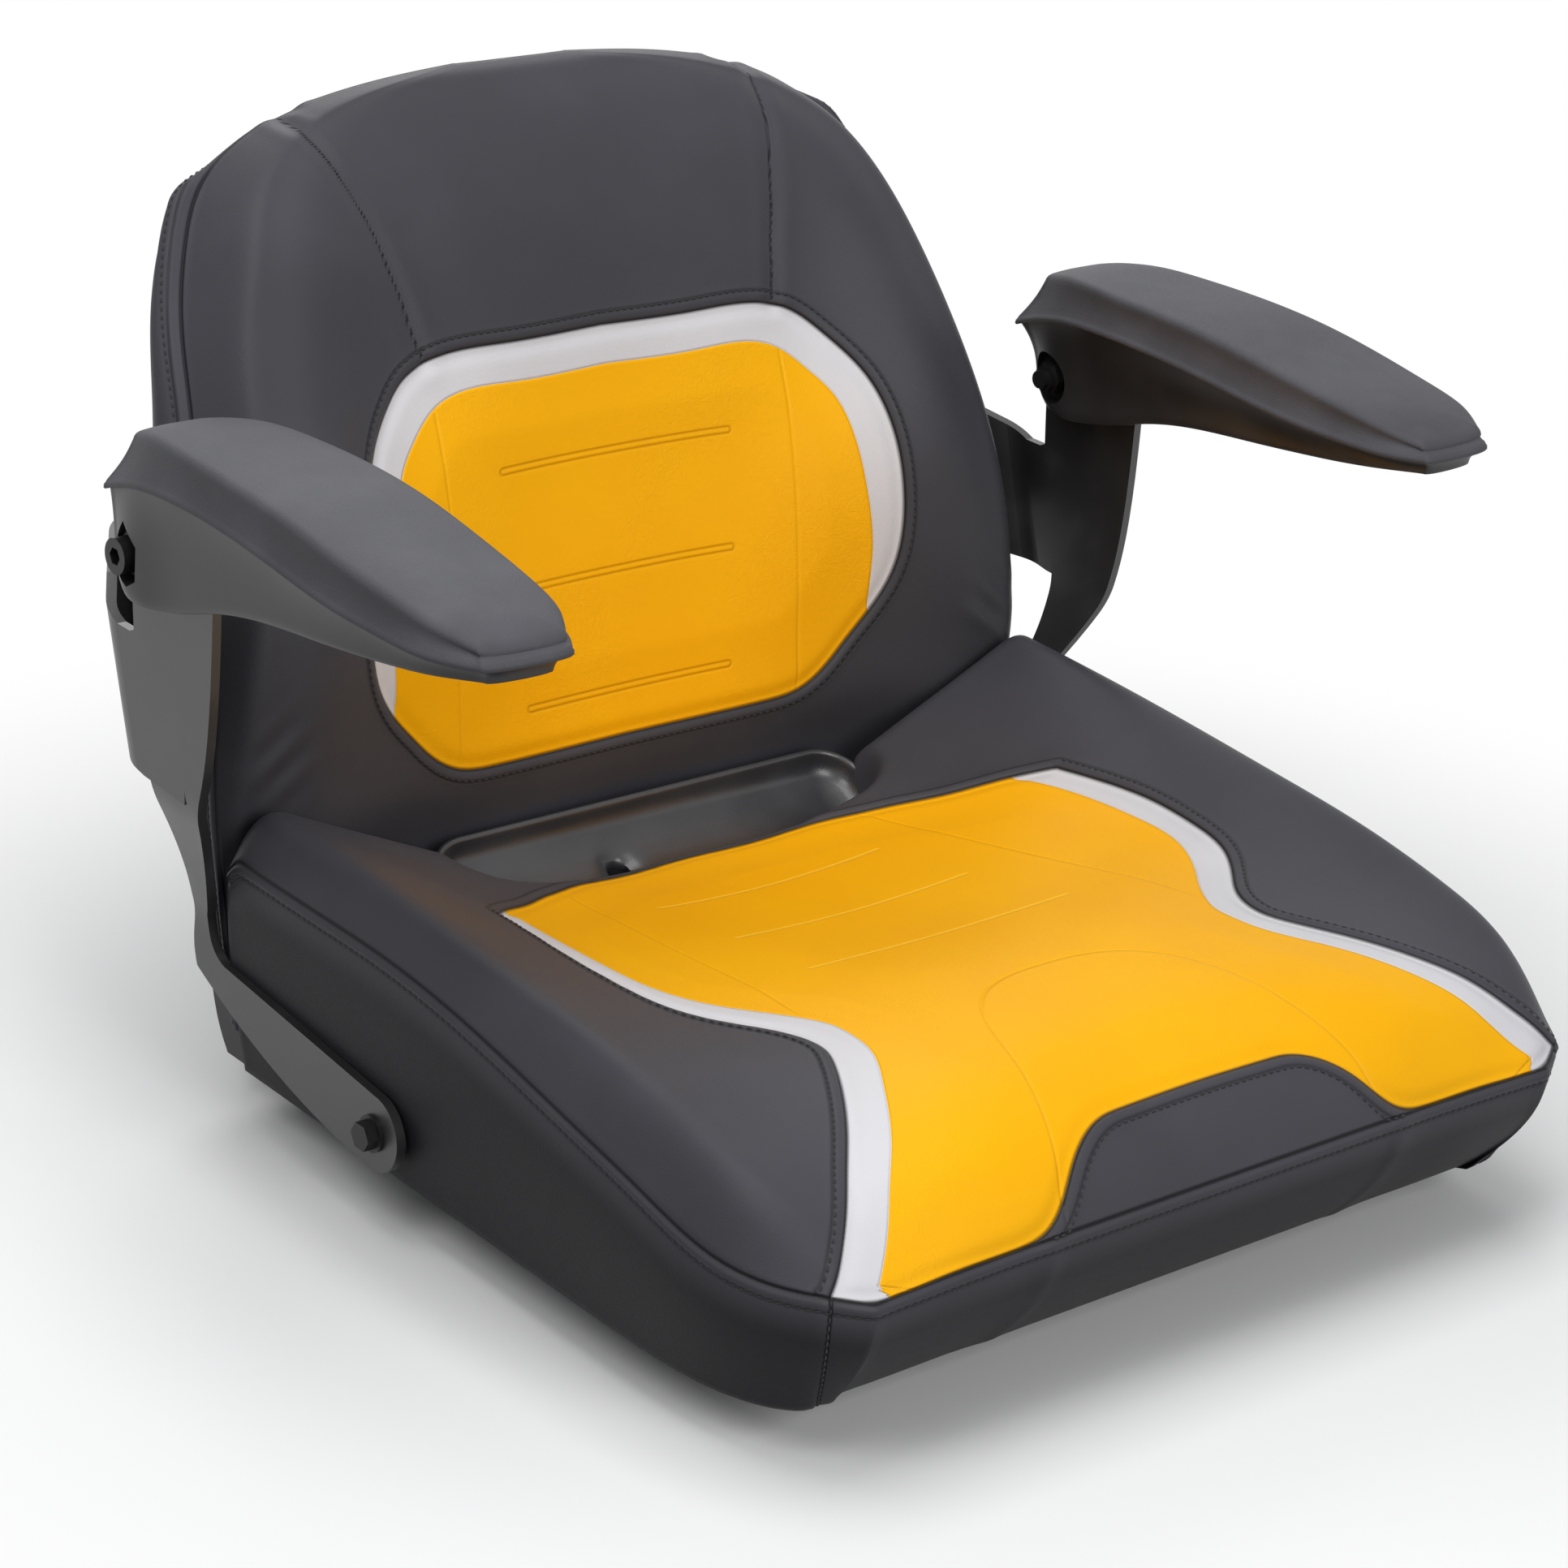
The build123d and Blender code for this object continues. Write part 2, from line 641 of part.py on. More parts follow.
def bracket_side_outline():
    """Side view of the ear, the upright and the leg."""
    front = Spline(by_pivot(ear_front), *[by_pivot(p) for p in upright_front], by_leg(crook))
    bend = ThreePointArc(by_leg(crook), by_leg(crook_turn), by_leg(crook_foot))
    end_top = (leg_bolt_y, leg_bolt_z + leg_end_radius)
    end_low = (leg_bolt_y, leg_bolt_z - leg_end_radius)
    top = Line(by_leg(crook_foot), end_top)
    end = ThreePointArc(end_top, (leg_bolt_y - leg_end_radius, leg_bolt_z), end_low)
    bottom = Spline(end_low, by_leg(leg_belly), by_leg(leg_heel))
    ear_rear = (pivot_y + ear_radius, pivot_z)
    middle = [by_leg(p) for p in upright_rear] + [by_pivot(p) for p in ear_rear_low]
    rear = Spline(by_leg(leg_heel), *middle, ear_rear)
    crown = ThreePointArc(ear_rear, (pivot_y, pivot_z + ear_radius), by_pivot(ear_brow()))
    brow = Line(by_pivot(ear_brow()), by_pivot(ear_front))
    return make_face(front + bend + top + end + bottom + rear + crown + brow)


def bracket_wrap_outline():
    """Side view of the flange that wraps round behind the back, with the notch by the ear."""
    return make_face(Polyline(*[by_pivot(p) for p in flange_low + flange_high], close=True))


def arm_bracket(side):
    """Pressed sheet bracket: ear, joggled upright, leg and rear flange in one piece."""
    joggle = FilletPolyline(
        (ear_x, pivot_z + 2 * ear_radius), (ear_x, joggle_top), (leg_x, joggle_foot), (leg_x, 0),
        radius=joggle_radius)
    upright = front_prism(trace(joggle, sheet), 0, 2 * pivot_y)
    upright &= side_prism(bracket_side_outline(), 0, 2 * ear_x)
    rear_y = back_at(wrap_base / math.cos(lean), -sheet / 2 / math.cos(lean))[0]
    wrap_path = FilletPolyline(
        (ear_x, pivot_y - 3 * ear_radius), (ear_x, wrap_corner_y), (wrap_turn_x, rear_y),
        (wrap_end_x, rear_y), radius=wrap_radius)
    band = Pos(0, 0, wrap_base) * trace(wrap_path, sheet)
    wrap = extrude(band, pan_back_length / 3, dir=up_back)
    wrap &= side_prism(bracket_wrap_outline(), 0, 2 * ear_x)
    bracket = upright + wrap
    bracket -= rod_x(0, 2 * ear_x, pivot_y, pivot_z, pivot_radius + run_gap)
    bracket -= rod_x(0, 2 * ear_x, leg_bolt_y, leg_bolt_z, bolt_shank_radius + bolt_gap)
    for plane in rear_bolt_planes(1):
        bracket -= extrude(plane * Circle(bolt_shank_radius + bolt_gap), 3 * sheet, both=True)
    return bracket if side > 0 else mirror(bracket, Plane.YZ)


# Armrests

def joint_line():
    """Side view of the line where pad and base meet, front to rear."""
    return Spline(*[by_pivot(p) for p in pad_joint])


def by_hub(point, inset):
    """A plan-view point given from the pivot, moved in towards the pad's middle."""
    inwards = inset if point[0] < pad_middle else -inset
    return (ear_x + point[0] + inwards, pivot_y + point[1])


def pad_plan(inset):
    """The pad's lip from above, with a bowed outer and inner edge."""
    outer = Spline(*[by_hub(p, inset) for p in pad_outer])
    inner = Spline(*[by_hub(p, inset) for p in pad_inner])
    middle = ear_x + pad_middle
    nose = ThreePointArc(inner @ 0, (middle, (inner @ 0).Y - pad_nose_bow), outer @ 0)
    tail = ThreePointArc(inner @ 1, (middle, (inner @ 1).Y + pad_tail_bow), outer @ 1)
    return make_face(outer + inner + nose + tail)


def arm_pad(side):
    """Soft pad: drafted sides under an arched top."""
    low = joint_line()
    crest = Spline(*[by_pivot(p) for p in pad_crest])
    outline = make_face(low + crest + Line(low @ 0, crest @ 0) + Line(low @ 1, crest @ 1))
    foot = (low @ 1).Y
    pad = extrude(Pos(0, 0, foot) * pad_plan(0), pad_crest[-3][1], taper=pad_draft)
    pad &= side_prism(outline, 0, 2 * ear_x)
    for x, y, seat in screw_places():
        pad -= rod_z(x, y, 0, seat + screw_grip + 2 * shelf_thickness, screw_radius)
    return pad if side > 0 else mirror(pad, Plane.YZ)


def screw_places():
    """Each pad screw's place in plan, and the height of the face that its head bears on."""
    low = joint_line()
    places = []
    for offset in screw_ys:
        y = pivot_y + offset
        rise = low.closest_points(Vector(y, pivot_z + pad_joint[3][1]))[0].Y
        places.append((ear_x + pad_middle, y, rise - shelf_thickness))
    return places


def arm_base(side):
    """Moulded base: a shelf under the pad, a web and a hub slotted for the bracket's ear."""
    low = joint_line()
    belly = Spline(*[by_pivot(p) for p in base_belly])
    heel = Spline(belly @ 1, by_pivot(hub_low), by_pivot(hub_rear), low @ 1)
    web_outline = make_face(low + belly + heel + Line(low @ 0, belly @ 0))
    web = side_prism(web_outline, ear_x - hub_width / 2, ear_x + hub_width / 2)
    drop = Vector(0, -shelf_thickness)
    under = Pos(0, -shelf_thickness) * low
    ends = Line(low @ 0, (low @ 0) + drop) + Line(low @ 1, (low @ 1) + drop)
    shelf = side_prism(make_face(low + under + ends), 0, 2 * ear_x)
    shelf &= plan_prism(pad_plan(lip_inset), 0, 2 * pivot_z)
    base = web + shelf
    slot_low = ear_x - sheet / 2 - slot_gap
    base -= side_prism(ear_slot_outline(), slot_low, slot_low + sheet + 2 * slot_gap)
    base -= rod_x(0, 2 * ear_x, pivot_y, pivot_z, pivot_radius + run_gap)
    floor_out = ear_x + hub_width / 2 - recess_depth
    floor_in = ear_x - hub_width / 2 + recess_depth
    base -= rod_x(floor_out, 2 * ear_x, pivot_y, pivot_z, recess_radius)
    base -= rod_x(0, floor_in, pivot_y, pivot_z, recess_radius)
    for x, y, seat in screw_places():
        base -= rod_z(x, y, 0, seat, screw_head_radius + bolt_gap)
        base -= rod_z(x, y, 0, seat + 3 * shelf_thickness, screw_radius + bolt_gap)
    return base if side > 0 else mirror(base, Plane.YZ)


def ear_slot_outline():
    """Side view of the slot that the ear swings in: closed in front and above, open behind."""
    roof = ear_radius + 4 * stop_gap
    brow = Vector(*by_pivot(ear_brow()))
    front = Vector(*by_pivot(ear_front))
    along = (front - brow).normalized()
    rise = Vector(along.Y, -along.X) * stop_gap
    start = brow + rise - along * ear_radius / 3
    stop = front + rise + along * ear_radius
    far = 4 * ear_radius
    outline = Polyline(
        (stop.X, stop.Y), (start.X, start.Y), (pivot_y, pivot_z + roof),
        (pivot_y + far, pivot_z + roof), (pivot_y + far, pivot_z - far),
        (stop.X, pivot_z - far), close=True)
    return make_face(outline)


def pad_screws(side):
    """Screws that hold the pad to its base from below."""
    screws = []
    for x, y, seat in screw_places():
        screw = rod_z(x, y, seat - screw_head, seat, screw_head_radius)
        screw += rod_z(x, y, seat, seat + shelf_thickness + screw_grip, screw_radius)
        screws.append(screw if side > 0 else mirror(screw, Plane.YZ))
    return screws


def save(name, shape):
    """Write one node; a list is a group of separate solids."""
    group = shape if isinstance(shape, list) else [shape]
    solids = [solid for item in group for solid in item.solids()]
    export_step(Compound(children=solids) if len(solids) > 1 else solids[0], f"parts/{name}.step")


os.makedirs("parts", exist_ok=True)
save("seat_pan", seat_pan())
save("seat_cushion", seat_cushion())
save("back_cushion", back_cushion())
save("drain_tray", drain_tray())
save("mount_inserts", mount_inserts())
save("seat_switch", seat_switch())
save("switch_plunger", switch_plunger())
paired = (arm_bracket, bracket_bolts, bracket_inserts, pivot_bolt, pivot_nut, pivot_washers,
          arm_base, arm_pad, pad_screws)
for make in paired:
    for side, hand in ((1, "left"), (-1, "right")):
        save(f"{make.__name__}_{hand}", make(side))
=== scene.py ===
import json
import math

import bpy
import numpy as np
from mathutils import Matrix, Vector
from mathutils.kdtree import KDTree


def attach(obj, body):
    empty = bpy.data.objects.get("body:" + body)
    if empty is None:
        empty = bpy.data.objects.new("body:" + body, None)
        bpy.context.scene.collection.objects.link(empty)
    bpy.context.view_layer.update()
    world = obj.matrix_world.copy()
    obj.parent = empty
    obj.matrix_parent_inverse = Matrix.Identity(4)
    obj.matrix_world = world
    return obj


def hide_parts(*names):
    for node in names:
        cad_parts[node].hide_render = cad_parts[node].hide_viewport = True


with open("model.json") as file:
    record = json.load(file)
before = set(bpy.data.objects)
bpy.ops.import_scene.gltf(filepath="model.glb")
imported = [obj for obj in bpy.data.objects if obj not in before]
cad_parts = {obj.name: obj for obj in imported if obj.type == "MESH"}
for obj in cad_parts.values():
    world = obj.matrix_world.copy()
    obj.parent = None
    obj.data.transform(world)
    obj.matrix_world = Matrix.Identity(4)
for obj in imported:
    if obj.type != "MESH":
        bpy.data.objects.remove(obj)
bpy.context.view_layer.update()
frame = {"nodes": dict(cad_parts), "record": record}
MM = 0.001

# Sizes of the sewn covers, in mm, in the CAD frame
CELL = 2.3                # grid of the cushion meshes
HEM_HEIGHT = 30.0
SIDE_TUCK = 12.0          # the skirt leans in by this much at the sides
FRONT_TUCK = 34.0         # and by this much at the nose
SKIRT_SWELL = 3.5
BORDER_TUCK = 16.0
RECLINE = math.tan(math.radians(17.5))
PAN_HEEL = 206.0
PANEL_HALF = 165.0
FOLD_STITCH = 6.6         # stitch row beside the panel's folded edge
SEAM_STITCH = 7.2         # stitch row beside the edge seams
SEAM_ROWS = (0.8, 2.0, 3.6, 5.2, 7.2, 9.0, 11.5, 15.0)
SKIRT_ROWS = 26
STITCH_PITCH = 4.5
REAR_COLUMNS = 7
FAR = 45.0                # distance kept by points away from a drawn line
SEAM_FAR = 30.0           # and by points away from a seam
EDGE_CROWDING = 0.12      # the grid's columns lie closer towards the edges
LINE_STEP = 1.0
CLOSE_STEP = 0.6
RIM_EVEN = 7              # points on either side that even out a rim's directions
SEAT_CROWN = 2.0          # rise of the padded panels
BACK_CROWN = 2.5
CROWN_REACH = 60.0
TRAY_LAP = 3.0
ROLL_RADIUS = 5.0         # the seat's rear edge rolls down into the tray
ROLL_SLOPE = 4.0
ROLL_REACH = 14.0
REAR_ROLL = 166.0
HEM_RINGS = [(3.0, 27.6), (8.0, 27.0), (20.0, 29.0), (36.0, 40.0)]
PAN_CLEARANCE = 7.0
LEAST_BORDER = 22.0
BORDER_SWELL = 10.0
BROW_FALL = 22.0
BACK_KNOTS = np.array([0, 0.36, 0.66, 0.82, 0.91, 0.965, 1])
STITCH_LENGTH = 3.1
STITCH_RADIUS = 0.6
STITCH_SIDES = 6
# Along, girth and rise of each ring of a stitch
STITCH_STATIONS = [(-0.5, 0.35, -0.45), (-0.3, 0.9, 0.05), (0.0, 1.0, 0.2), (0.3, 0.9, 0.05),
                   (0.5, 0.35, -0.45)]
SCOOP_HALF = 118.0
BORDER_BLUR = 0.12

# Seat, rear to front: y, half width, then heights at centre, panel edge, bolster, shoulder and side seam
SEAT_ROWS = [
    (178.0, 267.0, 98.0, 139.0, 171.0, 170.0, 152.0),
    (110.0, 267.0, 106.5, 135.0, 170.0, 168.0, 151.0),
    (40.0, 267.0, 117.5, 138.0, 168.0, 164.5, 150.0),
    (-30.0, 267.0, 131.0, 143.0, 164.0, 159.0, 142.5),
    (-100.0, 267.0, 145.5, 147.0, 158.0, 151.5, 129.5),
    (-160.0, 266.0, 150.0, 146.0, 149.0, 141.0, 116.5),
    (-205.0, 261.0, 146.0, 141.5, 138.0, 129.0, 104.5),
    (-236.0, 250.0, 134.0, 129.0, 122.0, 115.0, 101.0),
    (-254.0, 236.0, 118.0, 112.0, 107.0, 105.0, 100.0),
    (-265.0, 218.0, 98.5, 98.0, 97.5, 97.0, 96.5),
]
# Back, bottom to top: z, half width, then depths at centre, panel edge, crest and side seam
BACK_ROWS = [
    (45.0, 250.0, 196.0, 192.0, 184.0, 190.5),
    (85.0, 256.0, 201.0, 196.0, 185.0, 192.0),
    (125.0, 260.5, 203.5, 195.0, 183.5, 193.0),
    (147.0, 263.0, 200.0, 190.5, 181.0, 193.5),
    (171.0, 265.0, 203.0, 190.0, 180.5, 194.0),
    (209.0, 263.0, 211.0, 191.0, 180.0, 199.0),
    (250.0, 259.0, 219.0, 193.5, 183.5, 210.0),
    (300.0, 250.5, 230.0, 205.0, 194.0, 235.0),
    (350.0, 239.5, 240.0, 229.0, 216.0, 262.0),
    (392.0, 229.0, 254.0, 249.0, 241.0, 289.0),
    (420.0, 217.0, 266.0, 262.5, 257.0, 306.0),
    (445.0, 201.0, 281.0, 280.0, 278.0, 320.0),
    (462.0, 178.0, 296.0, 296.5, 297.0, 329.0),
    (474.0, 148.0, 309.0, 310.0, 311.5, 334.0),
    (482.5, 110.0, 319.5, 320.5, 321.5, 336.0),
    (487.5, 70.0, 327.0, 327.5, 328.0, 336.5),
    (490.0, 36.0, 335.4, 335.5, 335.8, 336.5),
]
# Right half of each sewn line: seat in plan (x, y), back in front view (x, z)
SEAT_REAR_EDGE = [(0.0, 149.0), (45.0, 143.5), (80.0, 137.0), (100.0, 127.0), (116.0, 118.0),
                  (138.0, 103.0), (164.0, 85.5)]
SEAT_REAR_CORNER = (184.0, 65.0)
SEAT_INLAY_SIDE = [(167.5, 84.0), (173.0, 50.0), (175.0, 20.0), (175.0, -12.0), (172.0, -39.0),
                   (157.0, -70.0), (140.0, -92.0), (131.0, -106.0), (126.0, -117.0), (125.0, -131.0),
                   (127.0, -146.0), (143.0, -176.0), (157.0, -197.0), (172.0, -217.0), (185.0, -232.0),
                   (195.0, -244.0), (204.0, -253.0), (212.0, -260.0)]
SEAT_STRIP_SIDE = [(184.0, 65.0), (188.0, 30.0), (190.0, 0.0), (188.0, -35.0), (181.0, -66.0),
                   (164.0, -91.0), (152.0, -106.0), (145.0, -121.0), (144.0, -135.0), (149.0, -148.0),
                   (159.0, -165.0), (171.0, -183.0), (186.0, -203.0), (197.0, -216.5), (211.0, -234.0),
                   (222.0, -245.5), (231.0, -252.5), (235.5, -254.5)]
SEAT_FRONT_EDGE = [(235.5, -254.5), (229.0, -258.6), (223.0, -261.8), (214.0, -264.4), (190.0, -264.9),
                   (150.0, -264.9), (126.0, -264.6), (112.0, -262.5), (101.0, -257.5), (91.0, -250.5),
                   (80.0, -243.5), (69.0, -238.5), (59.0, -236.0), (48.0, -235.4), (0.0, -235.0)]
SEAT_ARCH = [(0.0, -125.0), (24.0, -127.0), (47.0, -137.0), (65.0, -158.0), (75.0, -182.0), (83.0, -208.0),
             (93.0, -236.0), (104.0, -262.0)]
INLAY_AHEAD = [(195.0, -280.0), (-195.0, -280.0)]
INLAY_BEHIND = [(-150.0, 200.0), (150.0, 200.0)]
ARCH_AHEAD = [(-104.0, -300.0), (104.0, -300.0)]
PUCKER_RISE = 0.9
SEAT_CORNER = (235.5, -254.5)
PUCKER = (236.0, 192.0)   # pulled folds low on the back's side, (x, z)
BACK_STRIP_EDGE = [(0.0, 368.5), (60.0, 368.0), (106.0, 366.5), (129.0, 358.5), (142.0, 348.0),
                   (153.0, 337.0), (160.0, 328.0), (171.0, 299.0), (175.0, 268.0), (175.0, 243.0),
                   (169.0, 215.0), (159.0, 198.0), (144.0, 181.0), (131.0, 168.0), (114.0, 158.0),
                   (90.0, 155.0), (0.0, 154.5)]
BACK_INLAY_EDGE = [(0.0, 349.0), (60.0, 348.5), (99.0, 347.5), (111.0, 343.5), (121.0, 337.0),
                   (130.0, 329.0), (140.5, 318.0), (150.0, 293.0), (154.5, 266.0), (158.0, 230.0),
                   (157.0, 197.0), (157.0, 176.0), (130.0, 150.0), (0.0, 140.0)]
HEAD_SEAM = [(114.0, 367.0), (118.0, 382.0), (120.0, 394.0), (124.0, 409.0), (127.0, 421.5), (131.0, 435.0),
             (135.0, 446.0), (140.0, 460.0), (145.0, 471.0), (149.5, 477.0)]
# Right armrest, in mm: plan lines (x, y) front to rear and side-view lines (y, z)
ARM_SIDE = 74
ARM_END = 26
ARM_STEP = 4.0
NOSE_KEEP = 26.0
TAIL_KEEP = 22.0
# Inset and rise of the pad's rings, round its lip and over its top
PAD_LIP_RINGS = [(22.0, 1.0), (5.0, 1.0), (0.8, 0.0), (0.0, 0.9), (0.2, 2.6), (1.1, 3.6), (1.7, 4.6)]
PAD_TOP_RINGS = [(0.5, -2.2), (1.5, -1.0), (3.0, -0.2), (5.0, 0.25), (9.0, 0.8), (14.0, 1.4), (20.0, 1.8)]
PAST_HUB = 20.0
RECESS_DEPTH = 9.0
SLOT_HALF = 4.7
EAR_SLOT = [(-84.0, -34.0), (-6.0, 21.4), (0.0, 22.6), (60.0, 22.6), (60.0, -60.0), (-84.0, -60.0)]
EAR_X = 299.0
HUB_INNER = 277.5
HUB_OUTER = 320.5
PIVOT = (195.0, 313.0)
HEAD_POCKET = [(0.0, 17.3), (-15.0, 8.6), (-15.0, -8.6), (-7.0, -13.5), (5.0, -11.5), (10.5, -4.0),
               (10.5, 6.0)]
RIDGE_OUTER = [(316.0, -86.0), (324.0, -68.0), (328.5, -37.0), (330.5, 0.0), (330.0, 39.0), (328.0, 86.0),
               (325.5, 128.0), (319.5, 170.0), (312.0, 197.0)]
RIDGE_INNER = [(269.0, -88.0), (261.5, -74.0), (257.5, -55.0), (254.5, -18.0), (252.5, 37.0), (252.7, 93.0),
               (255.5, 137.0), (263.0, 174.0), (271.0, 197.0)]
LIP_OUTER = [(317.0, -90.0), (327.0, -72.0), (331.5, -37.0), (333.0, 0.0), (332.8, 39.0), (331.0, 86.0),
             (329.0, 128.0), (324.5, 177.0), (317.0, 214.0)]
LIP_INNER = [(268.0, -92.0), (259.0, -76.0), (254.5, -55.0), (251.5, -18.0), (249.5, 37.0), (249.5, 93.0),
             (252.0, 137.0), (259.5, 178.0), (268.5, 214.0)]
LIP_LINE = [(-97.0, 350.5), (-51.0, 350.5), (0.0, 352.0), (53.0, 356.5), (100.0, 358.8), (135.0, 358.0),
            (166.0, 354.5), (203.0, 344.5), (224.0, 336.0)]
RIDGE_LINE = [(-93.0, 359.5), (-77.0, 364.5), (-58.0, 368.0), (-37.0, 370.8), (0.0, 375.5), (38.0, 380.0),
              (90.0, 382.6), (130.0, 382.4), (178.0, 378.5), (203.0, 371.0)]
BELLY_OUTER = [(310.0, -85.0), (320.0, -66.0), (324.5, -37.0), (325.5, 0.0), (324.5, 39.0), (322.5, 86.0),
               (320.8, 128.0), (320.5, 165.0), (320.5, 192.0), (314.0, 208.0)]
BELLY_INNER = [(275.0, -87.0), (266.0, -70.0), (262.0, -50.0), (262.0, -18.0), (265.0, 37.0), (271.0, 93.0),
               (276.5, 137.0), (277.5, 165.0), (277.5, 192.0), (283.0, 208.0)]
BELLY_LINE = [(-97.0, 342.8), (-80.0, 342.0), (-40.0, 337.0), (15.0, 329.0), (60.0, 322.5), (90.0, 316.5),
              (115.0, 309.5), (140.0, 301.0), (165.0, 294.5), (182.0, 292.5), (200.0, 296.0),
              (212.0, 304.0), (220.0, 316.0)]
TRAY_LENGTH = 286.0
TRAY_WIDTH = 58.0
TRAY_TILT = math.radians(27.0)
TRAY_MIDDLE = (168.0, 108.5)
TRAY_CORNER = 26.0
# Tray section, from under its middle round the rim bead to its floor: inset and height
TRAY_SECTION = [(26.0, -15.8), (20.0, -15.4), (14.0, -14.2), (9.0, -11.2), (5.5, -7.0), (3.2, -2.6),
                (1.2, -1.7), (0.1, -0.6), (0.0, 0.6), (0.7, 1.6), (1.9, 1.9), (3.1, 1.5), (3.9, 0.4),
                (4.5, -1.6), (5.5, -4.2), (7.0, -6.8), (9.0, -8.8), (11.0, -10.1)]
DRAIN = (-28.0, 169.0)
DRAIN_RADIUS = 7.0
SPOUT_RADIUS = 9.0
SPOUT_FOOT = 2.0
SPOUT_TOP = 90.0
DRAIN_SIDES = 48
TRAY_STEPS = 161
FUNNEL_DEPTH = 6.0
FUNNEL_REACH = 9.5

# Colours of the vinyl, as darker and lighter patches; the last two are dark tones of painted shade, on the
# skirts and in the grooves
BLACK_VINYL = ((0.046, 0.046, 0.054), (0.056, 0.056, 0.066))
YELLOW_VINYL = ((0.89, 0.418, 0.002), (0.93, 0.452, 0.002))
PALE_VINYL = ((0.60, 0.595, 0.62), (0.66, 0.655, 0.68))
YELLOW_SPECK = (0.95, 0.48, 0.004)
# painted shade: the skirts are darkened going down from the edge seam, as where they face away from the lamps
SKIRT_PAINTED_SHADE = (0.006, 0.006, 0.007)
# painted shade for the seam grooves, the creases and the sunk stitch rows
PAINTED_GROOVE_SHADE = (0.008, 0.008, 0.009)

# Studio, in metres; each lamp has its place, aim, size and power
CAMERA_LENS = 100.6
CAMERA_PLACE = (-1.3506, -1.4932, 1.0368)
CAMERA_TURN = ((0.7735, 0.197, -0.6024), (-0.6303, 0.3385, -0.6987), (0.0662, 0.9201, 0.386))
FILL_LIGHT = 0.17
FLOOR_HALF = 4000         # in mm
LAMPS = [
    ("top_lamp", (-0.4, 0.0, 2.2), (0.0, 0.05, 0.2), 1.5, 24.0),
    ("left_lamp", (-1.8, -0.5, 2.0), (0.0, 0.05, 0.25), 1.0, 18.0),
    ("front_lamp", (-0.2, -2.3, 1.25), (0.0, 0.1, 0.3), 1.3, 29.0),
    ("rear_lamp", (0.9, 1.8, 1.6), (0.0, 0.1, 0.35), 1.2, 12.0),
]


def natural_curve(knots, values, places):
    """A natural cubic through the values, one column each, read at the places."""
    knots = np.asarray(knots, float)
    values = np.asarray(values, float)
    places = np.asarray(places, float)
    gaps = np.diff(knots)
    last = len(knots) - 1
    system = np.eye(len(knots))
    pull = np.zeros(values.shape)
    for i in range(1, last):
        system[i, i - 1:i + 2] = gaps[i - 1], 2 * (gaps[i - 1] + gaps[i]), gaps[i]
        pull[i] = 6 * ((values[i + 1] - values[i]) / gaps[i] - (values[i] - values[i - 1]) / gaps[i - 1])
    bend = np.linalg.solve(system, pull)
    i = np.clip(np.searchsorted(knots, places) - 1, 0, last - 1)
    gap = gaps[i]
    before = (knots[i + 1] - places) / gap
    if values.ndim > 1:
        gap = gap[:, None]
        before = before[:, None]
    after = 1 - before
    curve = before * values[i] + after * values[i + 1]
    return curve + ((before ** 3 - before) * bend[i] + (after ** 3 - after) * bend[i + 1]) * gap ** 2 / 6


def run_along(points):
    """How far along a line each of its points lies."""
    return np.concatenate([[0], np.cumsum(np.linalg.norm(np.diff(points, axis=0), axis=1))])


def read_at(places, run, points):
    """Points of a line, read at places along it."""
    return np.stack([np.interp(places, run, column) for column in points.T], axis=1)


def unit(vectors):
    """The same directions, each of length 1."""
    return vectors / np.maximum(np.linalg.norm(vectors, axis=-1), 1e-9)[..., None]


def band(low, high, count):
    """Quads between two closed rings of numbered points."""
    return [[low + j, low + (j + 1) % count, high + (j + 1) % count, high + j] for j in range(count)]


def even_points(corners, step):
    """Points at an even step on a smooth line through the corners."""
    corners = np.asarray(corners, float)
    reach = run_along(corners)
    fine = natural_curve(reach, corners, np.linspace(0, reach[-1], 40 * len(corners)))
    run = run_along(fine)
    return read_at(np.linspace(0, run[-1], max(int(run[-1] / step), 2) + 1), run, fine)


def mirrored(half_line):
    """A line from its right half, which starts or ends at the middle."""
    half_line = np.asarray(half_line, float)
    if abs(half_line[0, 0]) < 1e-6:
        half_line = half_line[::-1]
    other = half_line[::-1][1:] * (-1, 1)
    return np.concatenate([half_line, other])


def smooth_step(low, high, value):
    """0 below low, 1 above high."""
    share = np.clip((value - low) / (high - low), 0, 1)
    return share * share * (3 - 2 * share)


def inside(outline, points):
    """Which points lie inside a closed outline."""
    x, y = points[:, 0], points[:, 1]
    odd = np.zeros(len(points), bool)
    for (x0, y0), (x1, y1) in zip(outline, np.roll(outline, -1, axis=0)):
        if y0 != y1:
            crosses = (y0 > y) != (y1 > y)
            odd ^= crosses & (x < (x1 - x0) * (y - y0) / (y1 - y0) + x0)
    return odd


def away_from(line, points, reach=FAR):
    """How far points lie from a line of close points, up to a reach."""
    tangents = unit(np.gradient(line, axis=0))
    tree = KDTree(len(line))
    for i, point in enumerate(line):
        tree.insert(point, i)
    tree.balance()
    near = np.all((points > line.min(axis=0) - reach) & (points < line.max(axis=0) + reach), axis=1)
    away = np.full(len(points), reach)
    for k in np.nonzero(near)[0]:
        _, i, gap = tree.find(points[k])
        if gap < reach:
            step = float((points[k] - line[i]) @ tangents[i])
            past_end = (i == 0 and step < 0) or (i == len(line) - 1 and step > 0)
            away[k] = gap if past_end else math.sqrt(max(gap * gap - step * step, 0))
    return away


